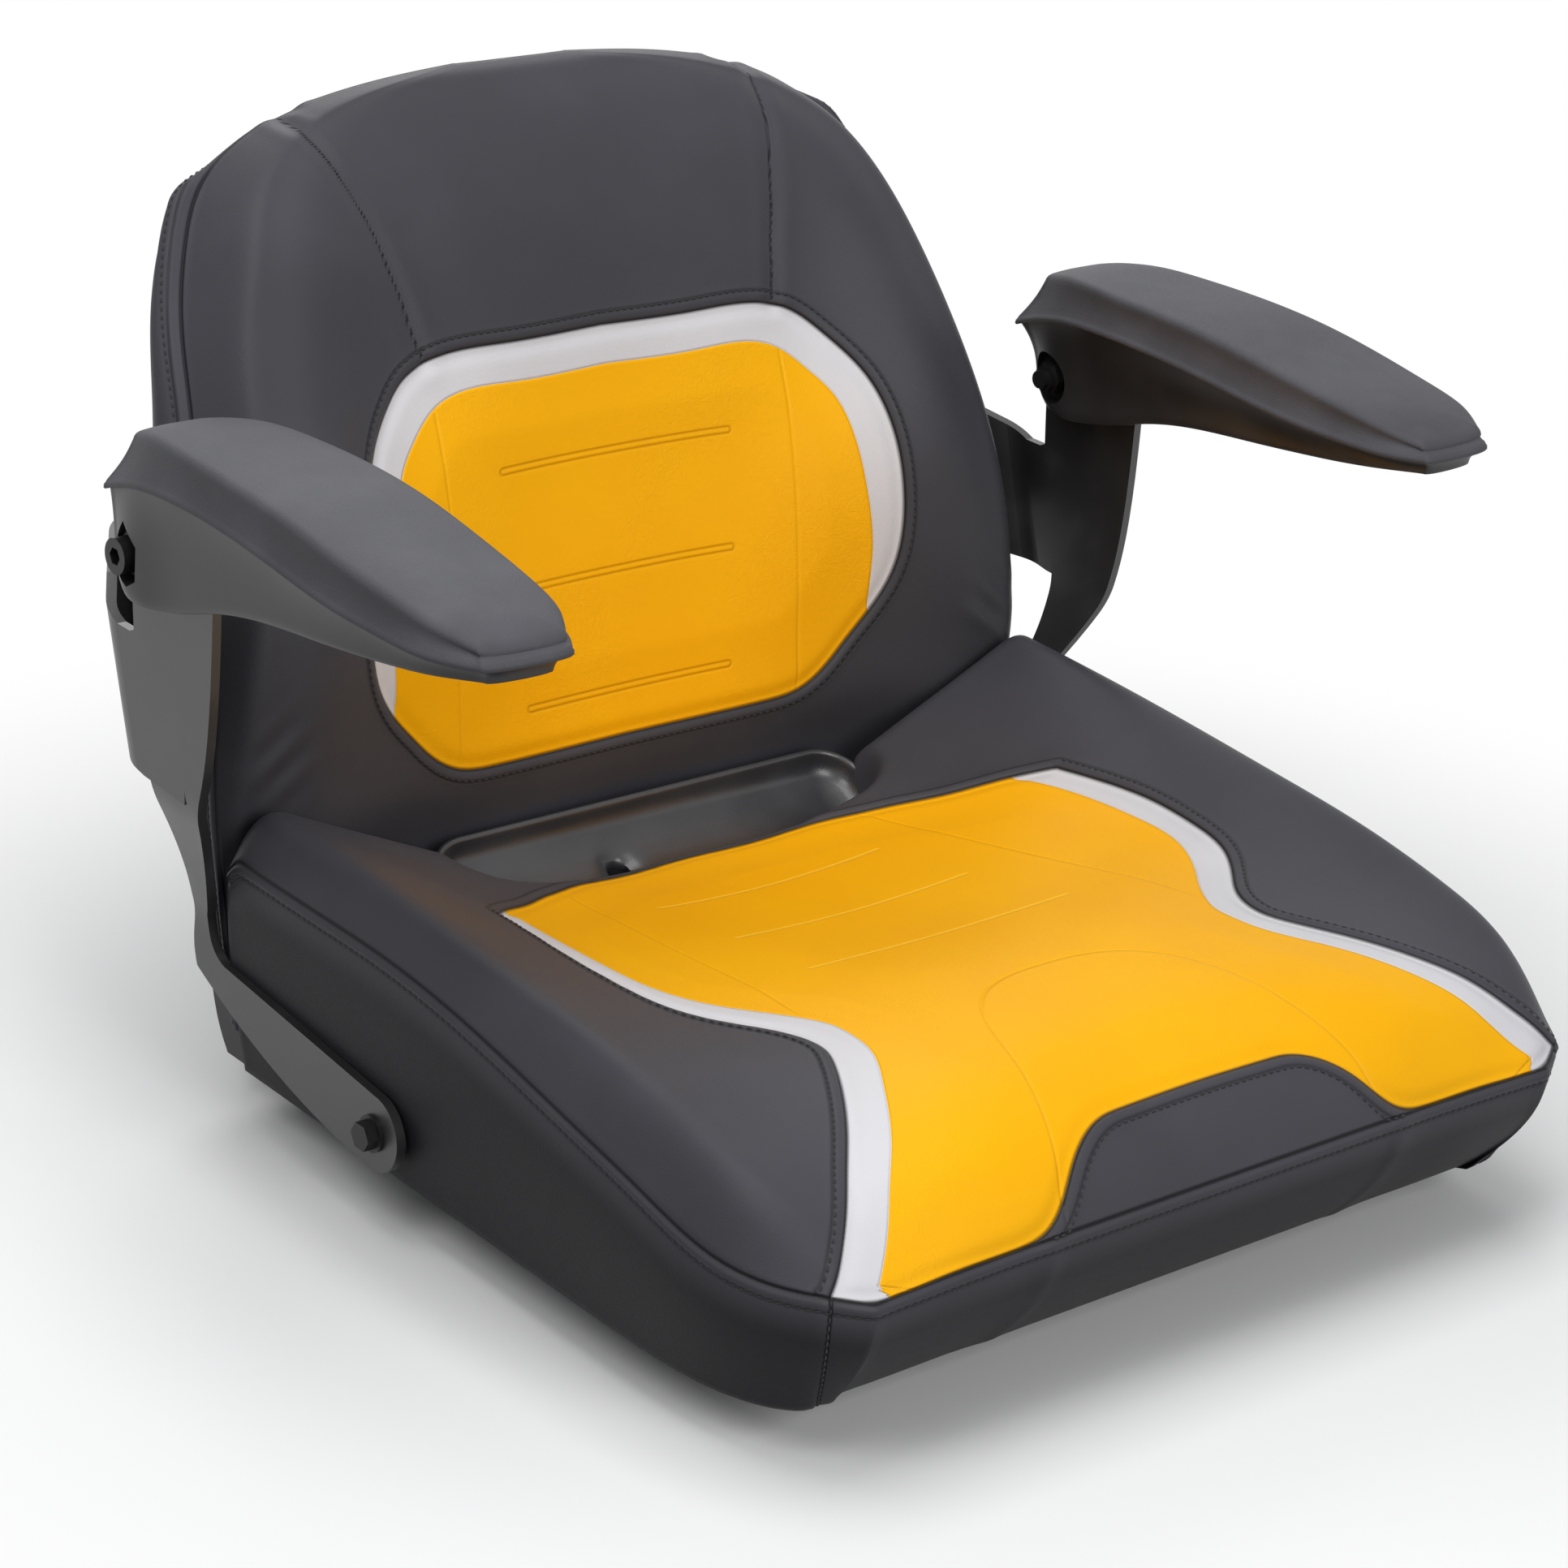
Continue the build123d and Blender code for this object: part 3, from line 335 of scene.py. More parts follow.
class Cover:
    """A cushion's face as a grid of rows, each from its left edge to its right edge."""

    def __init__(self, rows, lateral, upright):
        rows = np.asarray(rows, float)
        steps = np.maximum(np.abs(np.diff(rows[:, 1])), np.abs(np.diff(rows[:, 2])))
        reach = np.concatenate([[0], np.cumsum(np.hypot(np.diff(rows[:, 0]), steps))])
        places = np.linspace(0, reach[-1], int(reach[-1] / CELL) + 1)
        fine = natural_curve(reach, rows, places)
        columns = int(2 * fine[:, 1].max() / CELL) // 2 * 2 + 1
        spread = np.linspace(-1, 1, columns)
        spread = spread * (1 + EDGE_CROWDING * (1 - spread ** 2))
        self.levels = fine[:, 0]
        self.half = fine[:, 1]
        self.spread = spread
        self.upright = upright
        grid = np.zeros((len(fine), columns, 3))
        for i, row in enumerate(fine):
            knots, values = lateral(row)
            knots = np.concatenate([-knots[:0:-1], knots])
            values = np.concatenate([values[:0:-1], values])
            across = spread * row[1]
            depth = natural_curve(knots, values, across)
            level = np.full(columns, row[0])
            layers = (across, depth, level) if upright else (across, level, depth)
            grid[i] = np.stack(layers, axis=1)
        self.grid = grid

    def flat(self, points):
        """The two coordinates that the sewn lines are drawn in."""
        return points[..., [0, 2]] if self.upright else points[..., [0, 1]]

    def normals(self):
        down = np.gradient(self.grid, axis=0)
        across = np.gradient(self.grid, axis=1)
        facing = unit(np.cross(across, down))
        outwards = -1.0 if self.upright else 1.0
        axis = 1 if self.upright else 2
        facing *= np.sign(facing[..., axis] * outwards)[..., None]
        return facing

    def lifted(self, line, layer=None):
        """Points of the grid, or of another layer of it, above a drawn line."""
        layer = self.grid if layer is None else layer
        order = np.argsort(self.levels)
        row = np.interp(line[:, 1], self.levels[order], order.astype(float))
        half = np.interp(row, np.arange(len(self.half)), self.half)
        column = np.interp(line[:, 0] / half, self.spread, np.arange(len(self.spread)))
        i = np.clip(row.astype(int), 0, len(self.levels) - 2)
        j = np.clip(column.astype(int), 0, len(self.spread) - 2)
        a = (row - i)[:, None]
        b = (column - j)[:, None]
        near = layer[i, j] * (1 - b) + layer[i, j + 1] * b
        far = layer[i + 1, j] * (1 - b) + layer[i + 1, j + 1] * b
        return near * (1 - a) + far * a

    def rim(self):
        """Grid numbers of the edge: up the left side, along the last row, down the right side."""
        rows, columns = self.grid.shape[:2]
        left = [i * columns for i in range(rows)]
        last = [(rows - 1) * columns + j for j in range(1, columns - 1)]
        right = [i * columns + columns - 1 for i in range(rows - 1, -1, -1)]
        return np.array(left + last + right)


def seat_lateral(row):
    """Heights across the seat at one row."""
    _, half, centre, edge, bolster, shoulder, seam = row
    knots = np.array([0, PANEL_HALF / 2, PANEL_HALF, half * 0.885, half * 0.96, half])
    return knots, np.array([centre, centre + 0.2 * (edge - centre), edge, bolster, shoulder, seam])


def back_lateral(row):
    """Depths across the back at one row."""
    _, half, centre, edge, crest, seam = row
    turn = seam - crest
    inner = [centre, centre + 0.22 * (edge - centre), edge, crest]
    return half * BACK_KNOTS, np.array(inner + [crest + 0.10 * turn, crest + 0.36 * turn, seam])


def hump(distance, middle, width):
    """A soft ridge at a distance from a line."""
    return np.exp(-((distance - middle) / width) ** 2)


def rim_directions(points, axes):
    """Outward directions of an open rim in the plane of two axes, evened out along it."""
    flat = points[:, axes]
    step = np.zeros_like(flat)
    step[3:-3] = flat[6:] - flat[:-6]
    step[:3] = flat[3:6] - flat[:3]
    step[-3:] = flat[-3:] - flat[-6:-3]
    out = unit(np.stack([step[:, 1], -step[:, 0]], axis=1))
    if np.sum((flat - flat.mean(axis=0)) * out) < 0:
        out = -out
    kernel = np.hanning(2 * RIM_EVEN + 1)
    kernel /= kernel.sum()
    padded = np.pad(out, ((RIM_EVEN, RIM_EVEN), (0, 0)), mode="edge")
    return unit(np.stack([np.convolve(column, kernel, mode="valid") for column in padded.T], axis=1))


def make_mesh(name, points, faces, values=None):
    """A smooth mesh object from points in mm, with named values on its points."""
    mesh = bpy.data.meshes.new(name)
    mesh.from_pydata((np.asarray(points) * MM).tolist(), [], faces)
    mesh.polygons.foreach_set("use_smooth", np.ones(len(mesh.polygons), bool))
    for key, column in (values or {}).items():
        mesh.attributes.new(key, "FLOAT", "POINT").data.foreach_set("value", np.asarray(column, np.float32))
    mesh.validate()
    mesh.update()
    made = bpy.data.objects.new(name, mesh)
    bpy.context.scene.collection.objects.link(made)
    return made


def sheet_faces(rows, columns, numbers):
    """Quads between neighbouring rows of numbered points."""
    numbers = np.asarray(numbers).reshape(rows, columns)
    quads = np.stack([numbers[:-1, :-1], numbers[:-1, 1:], numbers[1:, 1:], numbers[1:, :-1]], axis=-1)
    return quads.reshape(-1, 4).tolist()


def close_cushion(name, cover, skirts, values):
    """One closed cushion from its face, the rows of its skirt, and flat ends."""
    rows, columns = cover.grid.shape[:2]
    points = [cover.grid.reshape(-1, 3)]
    faces = sheet_faces(rows, columns, np.arange(rows * columns))
    rim = cover.rim()
    above = rim
    count = rows * columns
    end_left = [int(rim[0])]
    end_right = [int(rim[-1])]
    for skirt in skirts:
        below = np.arange(count, count + len(rim))
        count += len(rim)
        points.append(skirt)
        faces += sheet_faces(2, len(rim), np.concatenate([above, below]))
        above = below
        end_left.append(int(below[0]))
        end_right.append(int(below[-1]))
    last = points[-1]
    left = last[:rows]
    right = last[rows + columns - 2:][::-1]
    shares = np.linspace(0, 1, REAR_COLUMNS + 2)[1:-1]
    points.append((left[:, None] + (right - left)[:, None] * shares[None, :, None]).reshape(-1, 3))
    inner = np.arange(count, count + rows * REAR_COLUMNS).reshape(rows, REAR_COLUMNS)
    sheet = np.column_stack([above[:rows], inner, above[rows + columns - 2:][::-1]])
    faces += sheet_faces(rows, REAR_COLUMNS + 2, sheet)
    top = above[rows - 1:rows + columns - 1].tolist()
    faces.append(top + inner[-1][::-1].tolist())
    faces.append(end_left[::-1] + list(range(1, columns - 1)) + end_right + inner[0][::-1].tolist())
    values = {key: np.concatenate([column, np.full(inner.size, FAR)]) for key, column in values.items()}
    made = make_mesh(name, np.concatenate(points), faces, values)
    bpy.context.view_layer.objects.active = made
    made.select_set(True)
    bpy.ops.object.mode_set(mode="EDIT")
    bpy.ops.mesh.select_all(action="SELECT")
    bpy.ops.mesh.normals_make_consistent(inside=False)
    bpy.ops.object.mode_set(mode="OBJECT")
    made.select_set(False)
    return made


def tray_depth_inside(points):
    """How far plan points lie inside the tray's rim."""
    radius = TRAY_WIDTH / 2
    along = np.maximum(np.abs(points[:, 0]) - (TRAY_LENGTH / 2 - radius), 0)
    across = (points[:, 1] - TRAY_MIDDLE[0]) / math.cos(TRAY_TILT)
    return radius - np.hypot(along, across)


def both_halves(right):
    """A closed outline from its right half."""
    return np.concatenate([right, right[::-1] * (-1, 1)])


def sewn_lines():
    """The drawn lines of the covers, in flat coordinates."""
    right = even_points(SEAT_STRIP_SIDE, LINE_STEP)
    front = even_points(mirrored(SEAT_FRONT_EDGE), LINE_STEP)
    other_corner = np.multiply(SEAT_REAR_CORNER, (-1, 1))
    rear = even_points(np.vstack([SEAT_REAR_CORNER, mirrored(SEAT_REAR_EDGE), other_corner]), LINE_STEP)
    side = even_points(SEAT_INLAY_SIDE, LINE_STEP)
    arch = even_points(mirrored(SEAT_ARCH), LINE_STEP)
    return {
        "seat_panel": np.concatenate([right, front, right[::-1] * (-1, 1), rear[::-1]]),
        "seat_inlay": np.concatenate([side, INLAY_AHEAD, side[::-1] * (-1, 1), INLAY_BEHIND]),
        "seat_rear": rear,
        "seat_front": front,
        "seat_strip": right,
        "back_panel": both_halves(even_points(BACK_STRIP_EDGE, LINE_STEP)),
        "back_inlay": both_halves(even_points(BACK_INLAY_EDGE, LINE_STEP)),
        "head_seam": even_points(HEAD_SEAM, LINE_STEP),
        "seat_arch": np.concatenate([arch, ARCH_AHEAD]),
    }


def panel_distance(cover, points, outline):
    """Signed distance of points from a closed drawn outline, less than 0 inside it."""
    closed = np.concatenate([outline, outline[:1]])
    keep = np.concatenate([[True], np.linalg.norm(np.diff(closed, axis=0), axis=1) > 1e-6])
    away = away_from(even_line(cover.lifted(closed[keep])), points)
    return np.where(inside(outline, cover.flat(points)), -away, away)


def even_line(points):
    """The same line with closer points."""
    run = run_along(points)
    return read_at(np.linspace(0, run[-1], int(run[-1] / CLOSE_STEP) + 2), run, points)


def skirt_shares(drop):
    """How far down a skirt each row lies, with close rows beside the seam."""
    near = np.array(SEAM_ROWS)[:, None] / drop[None, :]
    start = near[-1]
    rest = [start + (1 - start) * share for share in np.linspace(0, 1, SKIRT_ROWS)[1:]]
    return np.concatenate([near, np.array(rest)])


def folded_seam(distance):
    """Profile of a seam with a folded edge beside it, from the distance past the seam."""
    ridge = -1.3 * hump(distance, 0, 1.3) + 1.0 * hump(distance, 3.6, 2.6)
    return ridge - 0.5 * hump(distance, SEAM_STITCH, 1.6)


def panel_rise(panel, crown):
    """Folded edge and crowned middle of a sewn panel, from the distance to its edge."""
    fold = 1.0 * hump(panel, 3.8, 3.0) - 1.5 * hump(panel, -2.5, 4.0)
    return fold + crown * smooth_step(0, -CROWN_REACH, panel) * smooth_step(0, CROWN_REACH, np.abs(panel))


def pucker_rise(points):
    """Pulled folds low on both sides of the back."""
    reach = np.abs(points[:, 0]) - PUCKER[0]
    rise = points[:, 2] - PUCKER[1]
    wave = np.sin((rise * 0.86 + reach * 0.5) / 2.9 + 0.9 * np.sin(reach / 11.0))
    return PUCKER_RISE * wave * np.exp(-(reach / 17.0) ** 2 - (rise / 22.0) ** 2)


def rear_fall(flat, rear):
    """How far the seat's face rolls down at its rear end and into the tray."""
    order = np.argsort(rear[:, 0])
    edge_y = np.interp(flat[:, 0], rear[order, 0], rear[order, 1])
    past = np.minimum(flat[:, 1] - edge_y, tray_depth_inside(flat) + TRAY_LAP)
    past = np.clip(past, 0, ROLL_REACH)
    arc = ROLL_RADIUS - np.sqrt(np.maximum(ROLL_RADIUS ** 2 - past ** 2, 0))
    roll = np.where(past < ROLL_RADIUS, arc, ROLL_RADIUS + ROLL_SLOPE * (past - ROLL_RADIUS))
    return np.clip(flat[:, 1] - REAR_ROLL, 0, 12) ** 2 / 18.0 + roll


def line_values(face, below, edge, **distances):
    """Distances kept on a cushion's points: those given on its face, and the one from its edge seam."""
    kept = {key: np.concatenate([values, np.full(len(below), FAR)]) for key, values in distances.items()}
    side_of = np.concatenate([np.full(len(face), -1.0), np.full(len(below), 1.0)])
    kept["seam"] = away_from(even_line(edge), np.concatenate([face, below]), SEAM_FAR) * side_of
    return kept


def make_seat_cover(lines):
    """The seat cushion: dished face, bolsters, folded panel edge, skirt and hem."""
    cover = Cover(SEAT_ROWS, seat_lateral, False)
    flat = cover.flat(cover.grid).reshape(-1, 2)
    points = cover.grid.reshape(-1, 3)
    panel, inlay, arch = (panel_distance(cover, points, lines[key])
                          for key in ("seat_panel", "seat_inlay", "seat_arch"))
    points = points + cover.normals().reshape(-1, 3) * panel_rise(panel, SEAT_CROWN)[:, None]
    points[:, 2] -= rear_fall(flat, lines["seat_rear"])
    cover.grid = points.reshape(cover.grid.shape)
    edge = points[cover.rim()]
    out = rim_directions(edge, [0, 1])
    front = np.clip(-out[:, 1], 0, 1)
    tuck = SIDE_TUCK + (FRONT_TUCK - SIDE_TUCK) * front ** 1.5
    drop = edge[:, 2] - HEM_HEIGHT
    skirts = []
    for share in skirt_shares(drop):
        lean = share + front * (share ** 1.7 - share)
        bulge = SKIRT_SWELL * np.sin(math.pi * share ** 0.8) * smooth_step(0, 0.12, 1.12 - share)
        bulge += folded_seam(share * drop)
        ring = edge.copy()
        ring[:, :2] += out * (bulge - tuck * lean)[:, None]
        ring[:, 2] -= drop * share
        skirts.append(ring)
    for inset, height in HEM_RINGS:
        ring = edge.copy()
        ring[:, :2] -= out * (tuck + inset)[:, None]
        ring[:, 2] = height
        skirts.append(ring)
    below = np.concatenate(skirts)
    crease = np.full(len(below), SEAM_FAR)
    corners = []
    for side in (-1, 1):
        near = int(np.argmin(np.hypot(edge[:, 0] - side * SEAT_CORNER[0], edge[:, 1] - SEAT_CORNER[1])))
        seam_line = np.array([edge[near]] + [ring[near] for ring in skirts[:-3]])
        corners.append((seam_line, out[near]))
        crease = np.minimum(crease, away_from(even_line(seam_line), below, SEAM_FAR))
    values = line_values(points, below, edge, panel=panel, inlay=inlay, press=arch)
    values["crease"] = np.concatenate([np.full(len(points), SEAM_FAR), crease])
    return close_cushion("seat_cover", cover, skirts, values), cover, skirts, corners


def make_back_cover(lines):
    """The back cushion: face with bolsters, head seams, and the border behind its edge seam."""
    cover = Cover(BACK_ROWS, back_lateral, True)
    points = cover.grid.reshape(-1, 3)
    panel, inlay = (panel_distance(cover, points, lines[key]) for key in ("back_panel", "back_inlay"))
    creases = np.full(len(points), SEAM_FAR)
    for side in (-1, 1):
        line = even_line(cover.lifted(lines["head_seam"] * (side, 1)))
        creases = np.minimum(creases, away_from(line, points, SEAM_FAR))
    raised = panel_rise(panel, BACK_CROWN)
    raised += 0.5 * hump(creases, 9.0, 5.0) - 1.3 * hump(creases, 0, 5.0)
    raised += pucker_rise(points)
    points = points + cover.normals().reshape(-1, 3) * raised[:, None]
    cover.grid = points.reshape(cover.grid.shape)
    edge = points[cover.rim()]
    out = rim_directions(edge, [0, 2])
    rear = PAN_HEEL + RECLINE * edge[:, 2] - PAN_CLEARANCE
    depth = np.maximum(rear - edge[:, 1], LEAST_BORDER)
    brow = smooth_step(0.55, 0.95, out[:, 1])
    swell = BORDER_SWELL * smooth_step(190, 300, edge[:, 2]) * (1 - brow)
    fall = BROW_FALL * brow
    skirts = []
    for share in skirt_shares(depth):
        arch = np.sin(math.pi * np.minimum(share * 1.05, 1) ** 0.85)
        fold = folded_seam(share * depth)
        lift = swell * arch + fold * (1 - 0.6 * brow) - BORDER_TUCK * share ** 3 - fall * share ** 1.2
        ring = edge.copy()
        ring[:, [0, 2]] += out * lift[:, None]
        ring[:, 1] += depth * share
        skirts.append(ring)
    for inset, ahead in ((8.0, -2.0), (30.0, 4.0)):
        ring = skirts[-1].copy()
        ring[:, [0, 2]] -= out * inset
        ring[:, 1] += ahead
        skirts.append(ring)
    values = line_values(points, np.concatenate(skirts), edge, panel=panel, inlay=inlay, crease=creases,
                         press=np.full(len(points), FAR))
    return close_cushion("back_cover", cover, skirts, values), cover, skirts


def closed_outline(outer, inner, tail_bow, nose_bow):
    """Plan points round an armrest: outer side to the rear, tail, inner side to the front, nose."""
    sides = []
    for line in (outer, inner):
        line = even_points(line, ARM_STEP)
        sides.append(read_at(np.linspace(0, 1, ARM_SIDE), np.linspace(0, 1, len(line)), line))
    outer, inner = sides
    turn = np.linspace(0, math.pi, ARM_END + 2)[1:-1]
    share = (1 - np.cos(turn)) / 2
    bow = np.sin(turn) ** 0.7
    tail = outer[-1] + (inner[-1] - outer[-1]) * share[:, None]
    tail[:, 1] += tail_bow * bow
    nose = inner[0] + (outer[0] - inner[0]) * share[:, None]
    nose[:, 1] -= nose_bow * bow
    return np.concatenate([outer, tail, inner[::-1], nose])


def arm_bridge(start):
    """Faces across a ring of an armrest, between its two sides."""
    outer = [start + i for i in range(ARM_SIDE)]
    tail = [start + ARM_SIDE + i for i in range(ARM_END)]
    inner = [start + ARM_SIDE + ARM_END + i for i in range(ARM_SIDE)][::-1]
    nose = [start + 2 * ARM_SIDE + ARM_END + i for i in range(ARM_END)]
    faces = [[outer[i], outer[i + 1], inner[i + 1], inner[i]] for i in range(ARM_SIDE - 1)]
    return faces + [[outer[-1], *tail, inner[-1]], [inner[0], *nose, outer[0]]]


def stacked_shell(name, rings, side, bridged=arm_bridge):
    """A closed shell from rising rings of plan points, mirrored for the other side."""
    size = len(rings[0])
    points = np.concatenate(rings) * (side, 1, 1)
    faces = [face[::-1] for face in bridged(0)]
    for start in range(0, (len(rings) - 1) * size, size):
        faces += band(start, start + size, size)
    faces += bridged((len(rings) - 1) * size)
    if side < 0:
        faces = [face[::-1] for face in faces]
    return make_mesh(name, points, faces)


def drawn_in(outline, inset):
    """An armrest's plan outline drawn in towards its middle line."""
    outer = outline[:ARM_SIDE]
    inner = outline[ARM_SIDE + ARM_END:2 * ARM_SIDE + ARM_END][::-1]
    middle = (outer + inner) / 2
    level = np.clip(outline[:, 1], middle[0, 1] + NOSE_KEEP, middle[-1, 1] - TAIL_KEEP)
    goal = np.column_stack([np.interp(level, middle[:, 1], middle[:, 0]), level])
    away = np.linalg.norm(goal - outline, axis=1)
    even = min(max((inset - 4.0) / 6.0, 0.0), 1.0)
    away = away + (away.mean() - away) * even
    return outline + (goal - outline) * np.minimum(inset / away, 0.9)[:, None]


def at_height(outline, curve, shift=0.0):
    """Plan points set on a side-view curve of (y, z)."""
    curve = np.asarray(curve)
    places = np.clip(outline[:, 1], curve[0, 0], curve[-1, 0])
    return np.column_stack([outline, natural_curve(curve[:, 0], curve[:, 1], places) + shift])


def make_arm_pad(name, side):
    """The soft pad: overhanging lip, leaning sides, rounded ridge and a slightly domed top."""
    lip = closed_outline(LIP_OUTER, LIP_INNER, 9.0, 5.0)
    top = closed_outline(RIDGE_OUTER, RIDGE_INNER, 5.0, 4.0)
    rings = [at_height(drawn_in(lip, inset), LIP_LINE, rise) for inset, rise in PAD_LIP_RINGS]
    low = rings[-1]
    high = at_height(top, RIDGE_LINE, -3.6)
    for share in np.linspace(0, 1, 9)[1:]:
        ring = low + (high - low) * share
        ring[:, :2] = drawn_in(ring[:, :2], 1.2 * math.sin(math.pi * share))
        rings.append(ring)
    rings += [at_height(drawn_in(top, inset), RIDGE_LINE, rise) for inset, rise in PAD_TOP_RINGS]
    return stacked_shell(name, rings, side)


def make_arm_base(name, side):
    """The moulded base: a beam that sweeps down into the flat-cheeked hub."""
    lip = drawn_in(closed_outline(LIP_OUTER, LIP_INNER, 9.0, 5.0), 3.2)
    belly = closed_outline(BELLY_OUTER, BELLY_INNER, 8.0, 4.0)
    low = at_height(belly, BELLY_LINE)
    crown = at_height(lip, LIP_LINE, 0.6)
    rings = [at_height(drawn_in(lip, 18.0), LIP_LINE, 0.6), crown]
    for share in np.concatenate([[0.03, 0.08], np.linspace(0.14, 0.9, 14), [0.94, 0.97, 0.99]]):
        ring = crown + (low - crown) * share
        ring[:, :2] = crown[:, :2] + (belly - lip) * (1 - (1 - share) ** 2.4)
        edge = max(share - 0.9, 0) / 0.1
        ring[:, :2] = drawn_in(ring[:, :2], 1.4 * edge ** 2)
        rings.append(ring)
    rings += [at_height(drawn_in(belly, inset), BELLY_LINE) for inset in (2.6, 5.0, 9.0, 13.0)]
    return stacked_shell(name, rings[::-1], side)


def bore(piece, name, points, faces):
    """Cuts a closed form out of a piece."""
    tool = make_mesh(name, points, faces)
    cut = piece.modifiers.new("bore", "BOOLEAN")
    cut.object = tool
    cut.operation = "DIFFERENCE"
    cut.solver = "EXACT"
    shape = bpy.context.evaluated_depsgraph_get()
    mesh = bpy.data.meshes.new_from_object(piece.evaluated_get(shape))
    piece.modifiers.clear()
    old = piece.data
    piece.data = mesh
    bpy.data.meshes.remove(old)
    bpy.data.objects.remove(tool)


def prism(outline, start, stop, side):
    """Points and faces of a side-view outline (y, z) run from one x to another."""
    count = len(outline)
    turn = sum(a[0] * b[1] - a[1] * b[0] for a, b in zip(outline, outline[1:] + outline[:1]))
    outline = outline[::-1] if turn > 0 else outline
    points = [(side * x, y, z) for x in (start, stop) for y, z in outline]
    faces = [list(range(count)), [count + i for i in range(count)][::-1]]
    for i in range(count):
        k = (i + 1) % count
        faces.append([i, count + i, count + k, k])
    if side < 0:
        faces = [face[::-1] for face in faces]
    return points, faces


def round_outline(radius, count=40):
    """A circle about the pivot in side view."""
    return [(PIVOT[0] + radius * math.sin(i * 2 * math.pi / count),
             PIVOT[1] + radius * math.cos(i * 2 * math.pi / count)) for i in range(count)]


def fit_hub(base, side):
    """Cuts the ear's slot, the pivot bore and both bolt recesses into a base."""
    slot = [(PIVOT[0] + across, PIVOT[1] + up) for across, up in EAR_SLOT]
    pocket = [(PIVOT[0] + across, PIVOT[1] + up) for across, up in HEAD_POCKET]
    inside_past = HUB_INNER - PAST_HUB
    outside_past = HUB_OUTER + PAST_HUB
    bore(base, "ear_slot", *prism(slot, EAR_X - SLOT_HALF, EAR_X + SLOT_HALF, side))
    bore(base, "pivot_bore", *prism(round_outline(5.2, 24), inside_past, outside_past, side))
    bore(base, "head_recess", *prism(pocket, HUB_OUTER - RECESS_DEPTH, outside_past, side))
    bore(base, "nut_recess", *prism(round_outline(15.0), inside_past, HUB_INNER + RECESS_DEPTH, side))


def tray_outline(inset):
    """The tray's rim in its own plane, drawn in; a point and its fellow across match in number."""
    length = TRAY_LENGTH / 2 - inset
    width = TRAY_WIDTH / 2 - inset
    radius = min(max(TRAY_CORNER - inset, 0.4), width)
    turn = np.linspace(0, math.pi / 2, 17)
    right = np.column_stack([length - radius + radius * np.cos(turn), width - radius + radius * np.sin(turn)])
    across = np.linspace(length - radius, radius - length, TRAY_STEPS)[1:-1]
    side = np.column_stack([across, np.full(len(across), width)])
    half = np.concatenate([[(length, 0.0)], right, side, right[::-1] * (-1, 1), [(-length, 0.0)]])
    return np.concatenate([half, half[1:-1][::-1] * (1, -1)])


def tray_bridge(start):
    """Faces across a ring of the tray."""
    size = len(tray_outline(0))
    half = size // 2
    faces = [[start, start + 1, start + size - 1], [start + half - 1, start + half, start + half + 1]]
    for i in range(1, half - 1):
        faces.append([start + i, start + i + 1, start + size - i - 1, start + size - i])
    return faces


def drain_ring(radius, height):
    """A level ring about the drain."""
    turn = np.arange(DRAIN_SIDES) * 2 * math.pi / DRAIN_SIDES
    ring = np.column_stack([np.cos(turn), np.sin(turn)])
    return np.column_stack([DRAIN + ring * radius, np.full(DRAIN_SIDES, height)])


def make_tray(name):
    """The drain trough: rolled rim, smooth bowl, funnel, drain hole and spout."""
    cosine = math.cos(TRAY_TILT)
    sine = math.sin(TRAY_TILT)
    drain_v = (DRAIN[1] - TRAY_MIDDLE[0] - 16.0 * sine) / cosine
    floor = [(inset, -10.1 - 2.7 * (1 - ((27 - inset) / 16) ** 2)) for inset in np.linspace(12, 27, 13)]
    rings = []
    for inset, height in TRAY_SECTION + floor:
        flat = tray_outline(inset)
        away = np.hypot(flat[:, 0] - DRAIN[0], flat[:, 1] - drain_v)
        height = height - FUNNEL_DEPTH * np.exp(-(away / FUNNEL_REACH) ** 2)
        rings.append(np.column_stack([flat[:, 0], TRAY_MIDDLE[0] + flat[:, 1] * cosine - height * sine,
                                      TRAY_MIDDLE[1] + flat[:, 1] * sine + height * cosine]))
    tray = stacked_shell(name, rings, 1, tray_bridge)
    n = DRAIN_SIDES
    ends = [list(range(n))[::-1], list(range(n, 2 * n))]
    hole = np.concatenate([drain_ring(DRAIN_RADIUS, 60.0), drain_ring(DRAIN_RADIUS, 140.0)])
    bore(tray, "drain_hole", hole, ends + band(0, n, n))
    tube = [drain_ring(*ring) for ring in ((SPOUT_RADIUS, SPOUT_FOOT), (SPOUT_RADIUS, SPOUT_TOP),
                                           (DRAIN_RADIUS, SPOUT_TOP), (DRAIN_RADIUS, SPOUT_FOOT))]
    faces = []
    for i in range(4):
        faces += band(i * n, (i + 1) % 4 * n, n)
    spout = make_mesh("drain_spout", np.concatenate(tube), faces)
    for piece in (tray, spout):
        piece.data.set_sharp_from_angle(angle=math.radians(50))
    return tray, spout


def add_node(tree, kind, sockets=None, **settings):
    """A node with its settings, its sockets linked or set."""
    made = tree.nodes.new(kind)
    for key, value in settings.items():
        setattr(made, key, value)
    for key, value in (sockets or {}).items():
        if isinstance(value, bpy.types.NodeSocket):
            tree.links.new(value, made.inputs[key])
        else:
            made.inputs[key].default_value = value
    return made


def maths(tree, operation, *values):
    """The result of one math node on values and sockets."""
    return add_node(tree, "ShaderNodeMath", dict(enumerate(values)), operation=operation).outputs[0]


def noise(tree, place, scale, detail, **sockets):
    """The value of a noise texture."""
    given = {"Vector": place, "Scale": scale, "Detail": detail, **sockets}
    return add_node(tree, "ShaderNodeTexNoise", given).outputs[0]


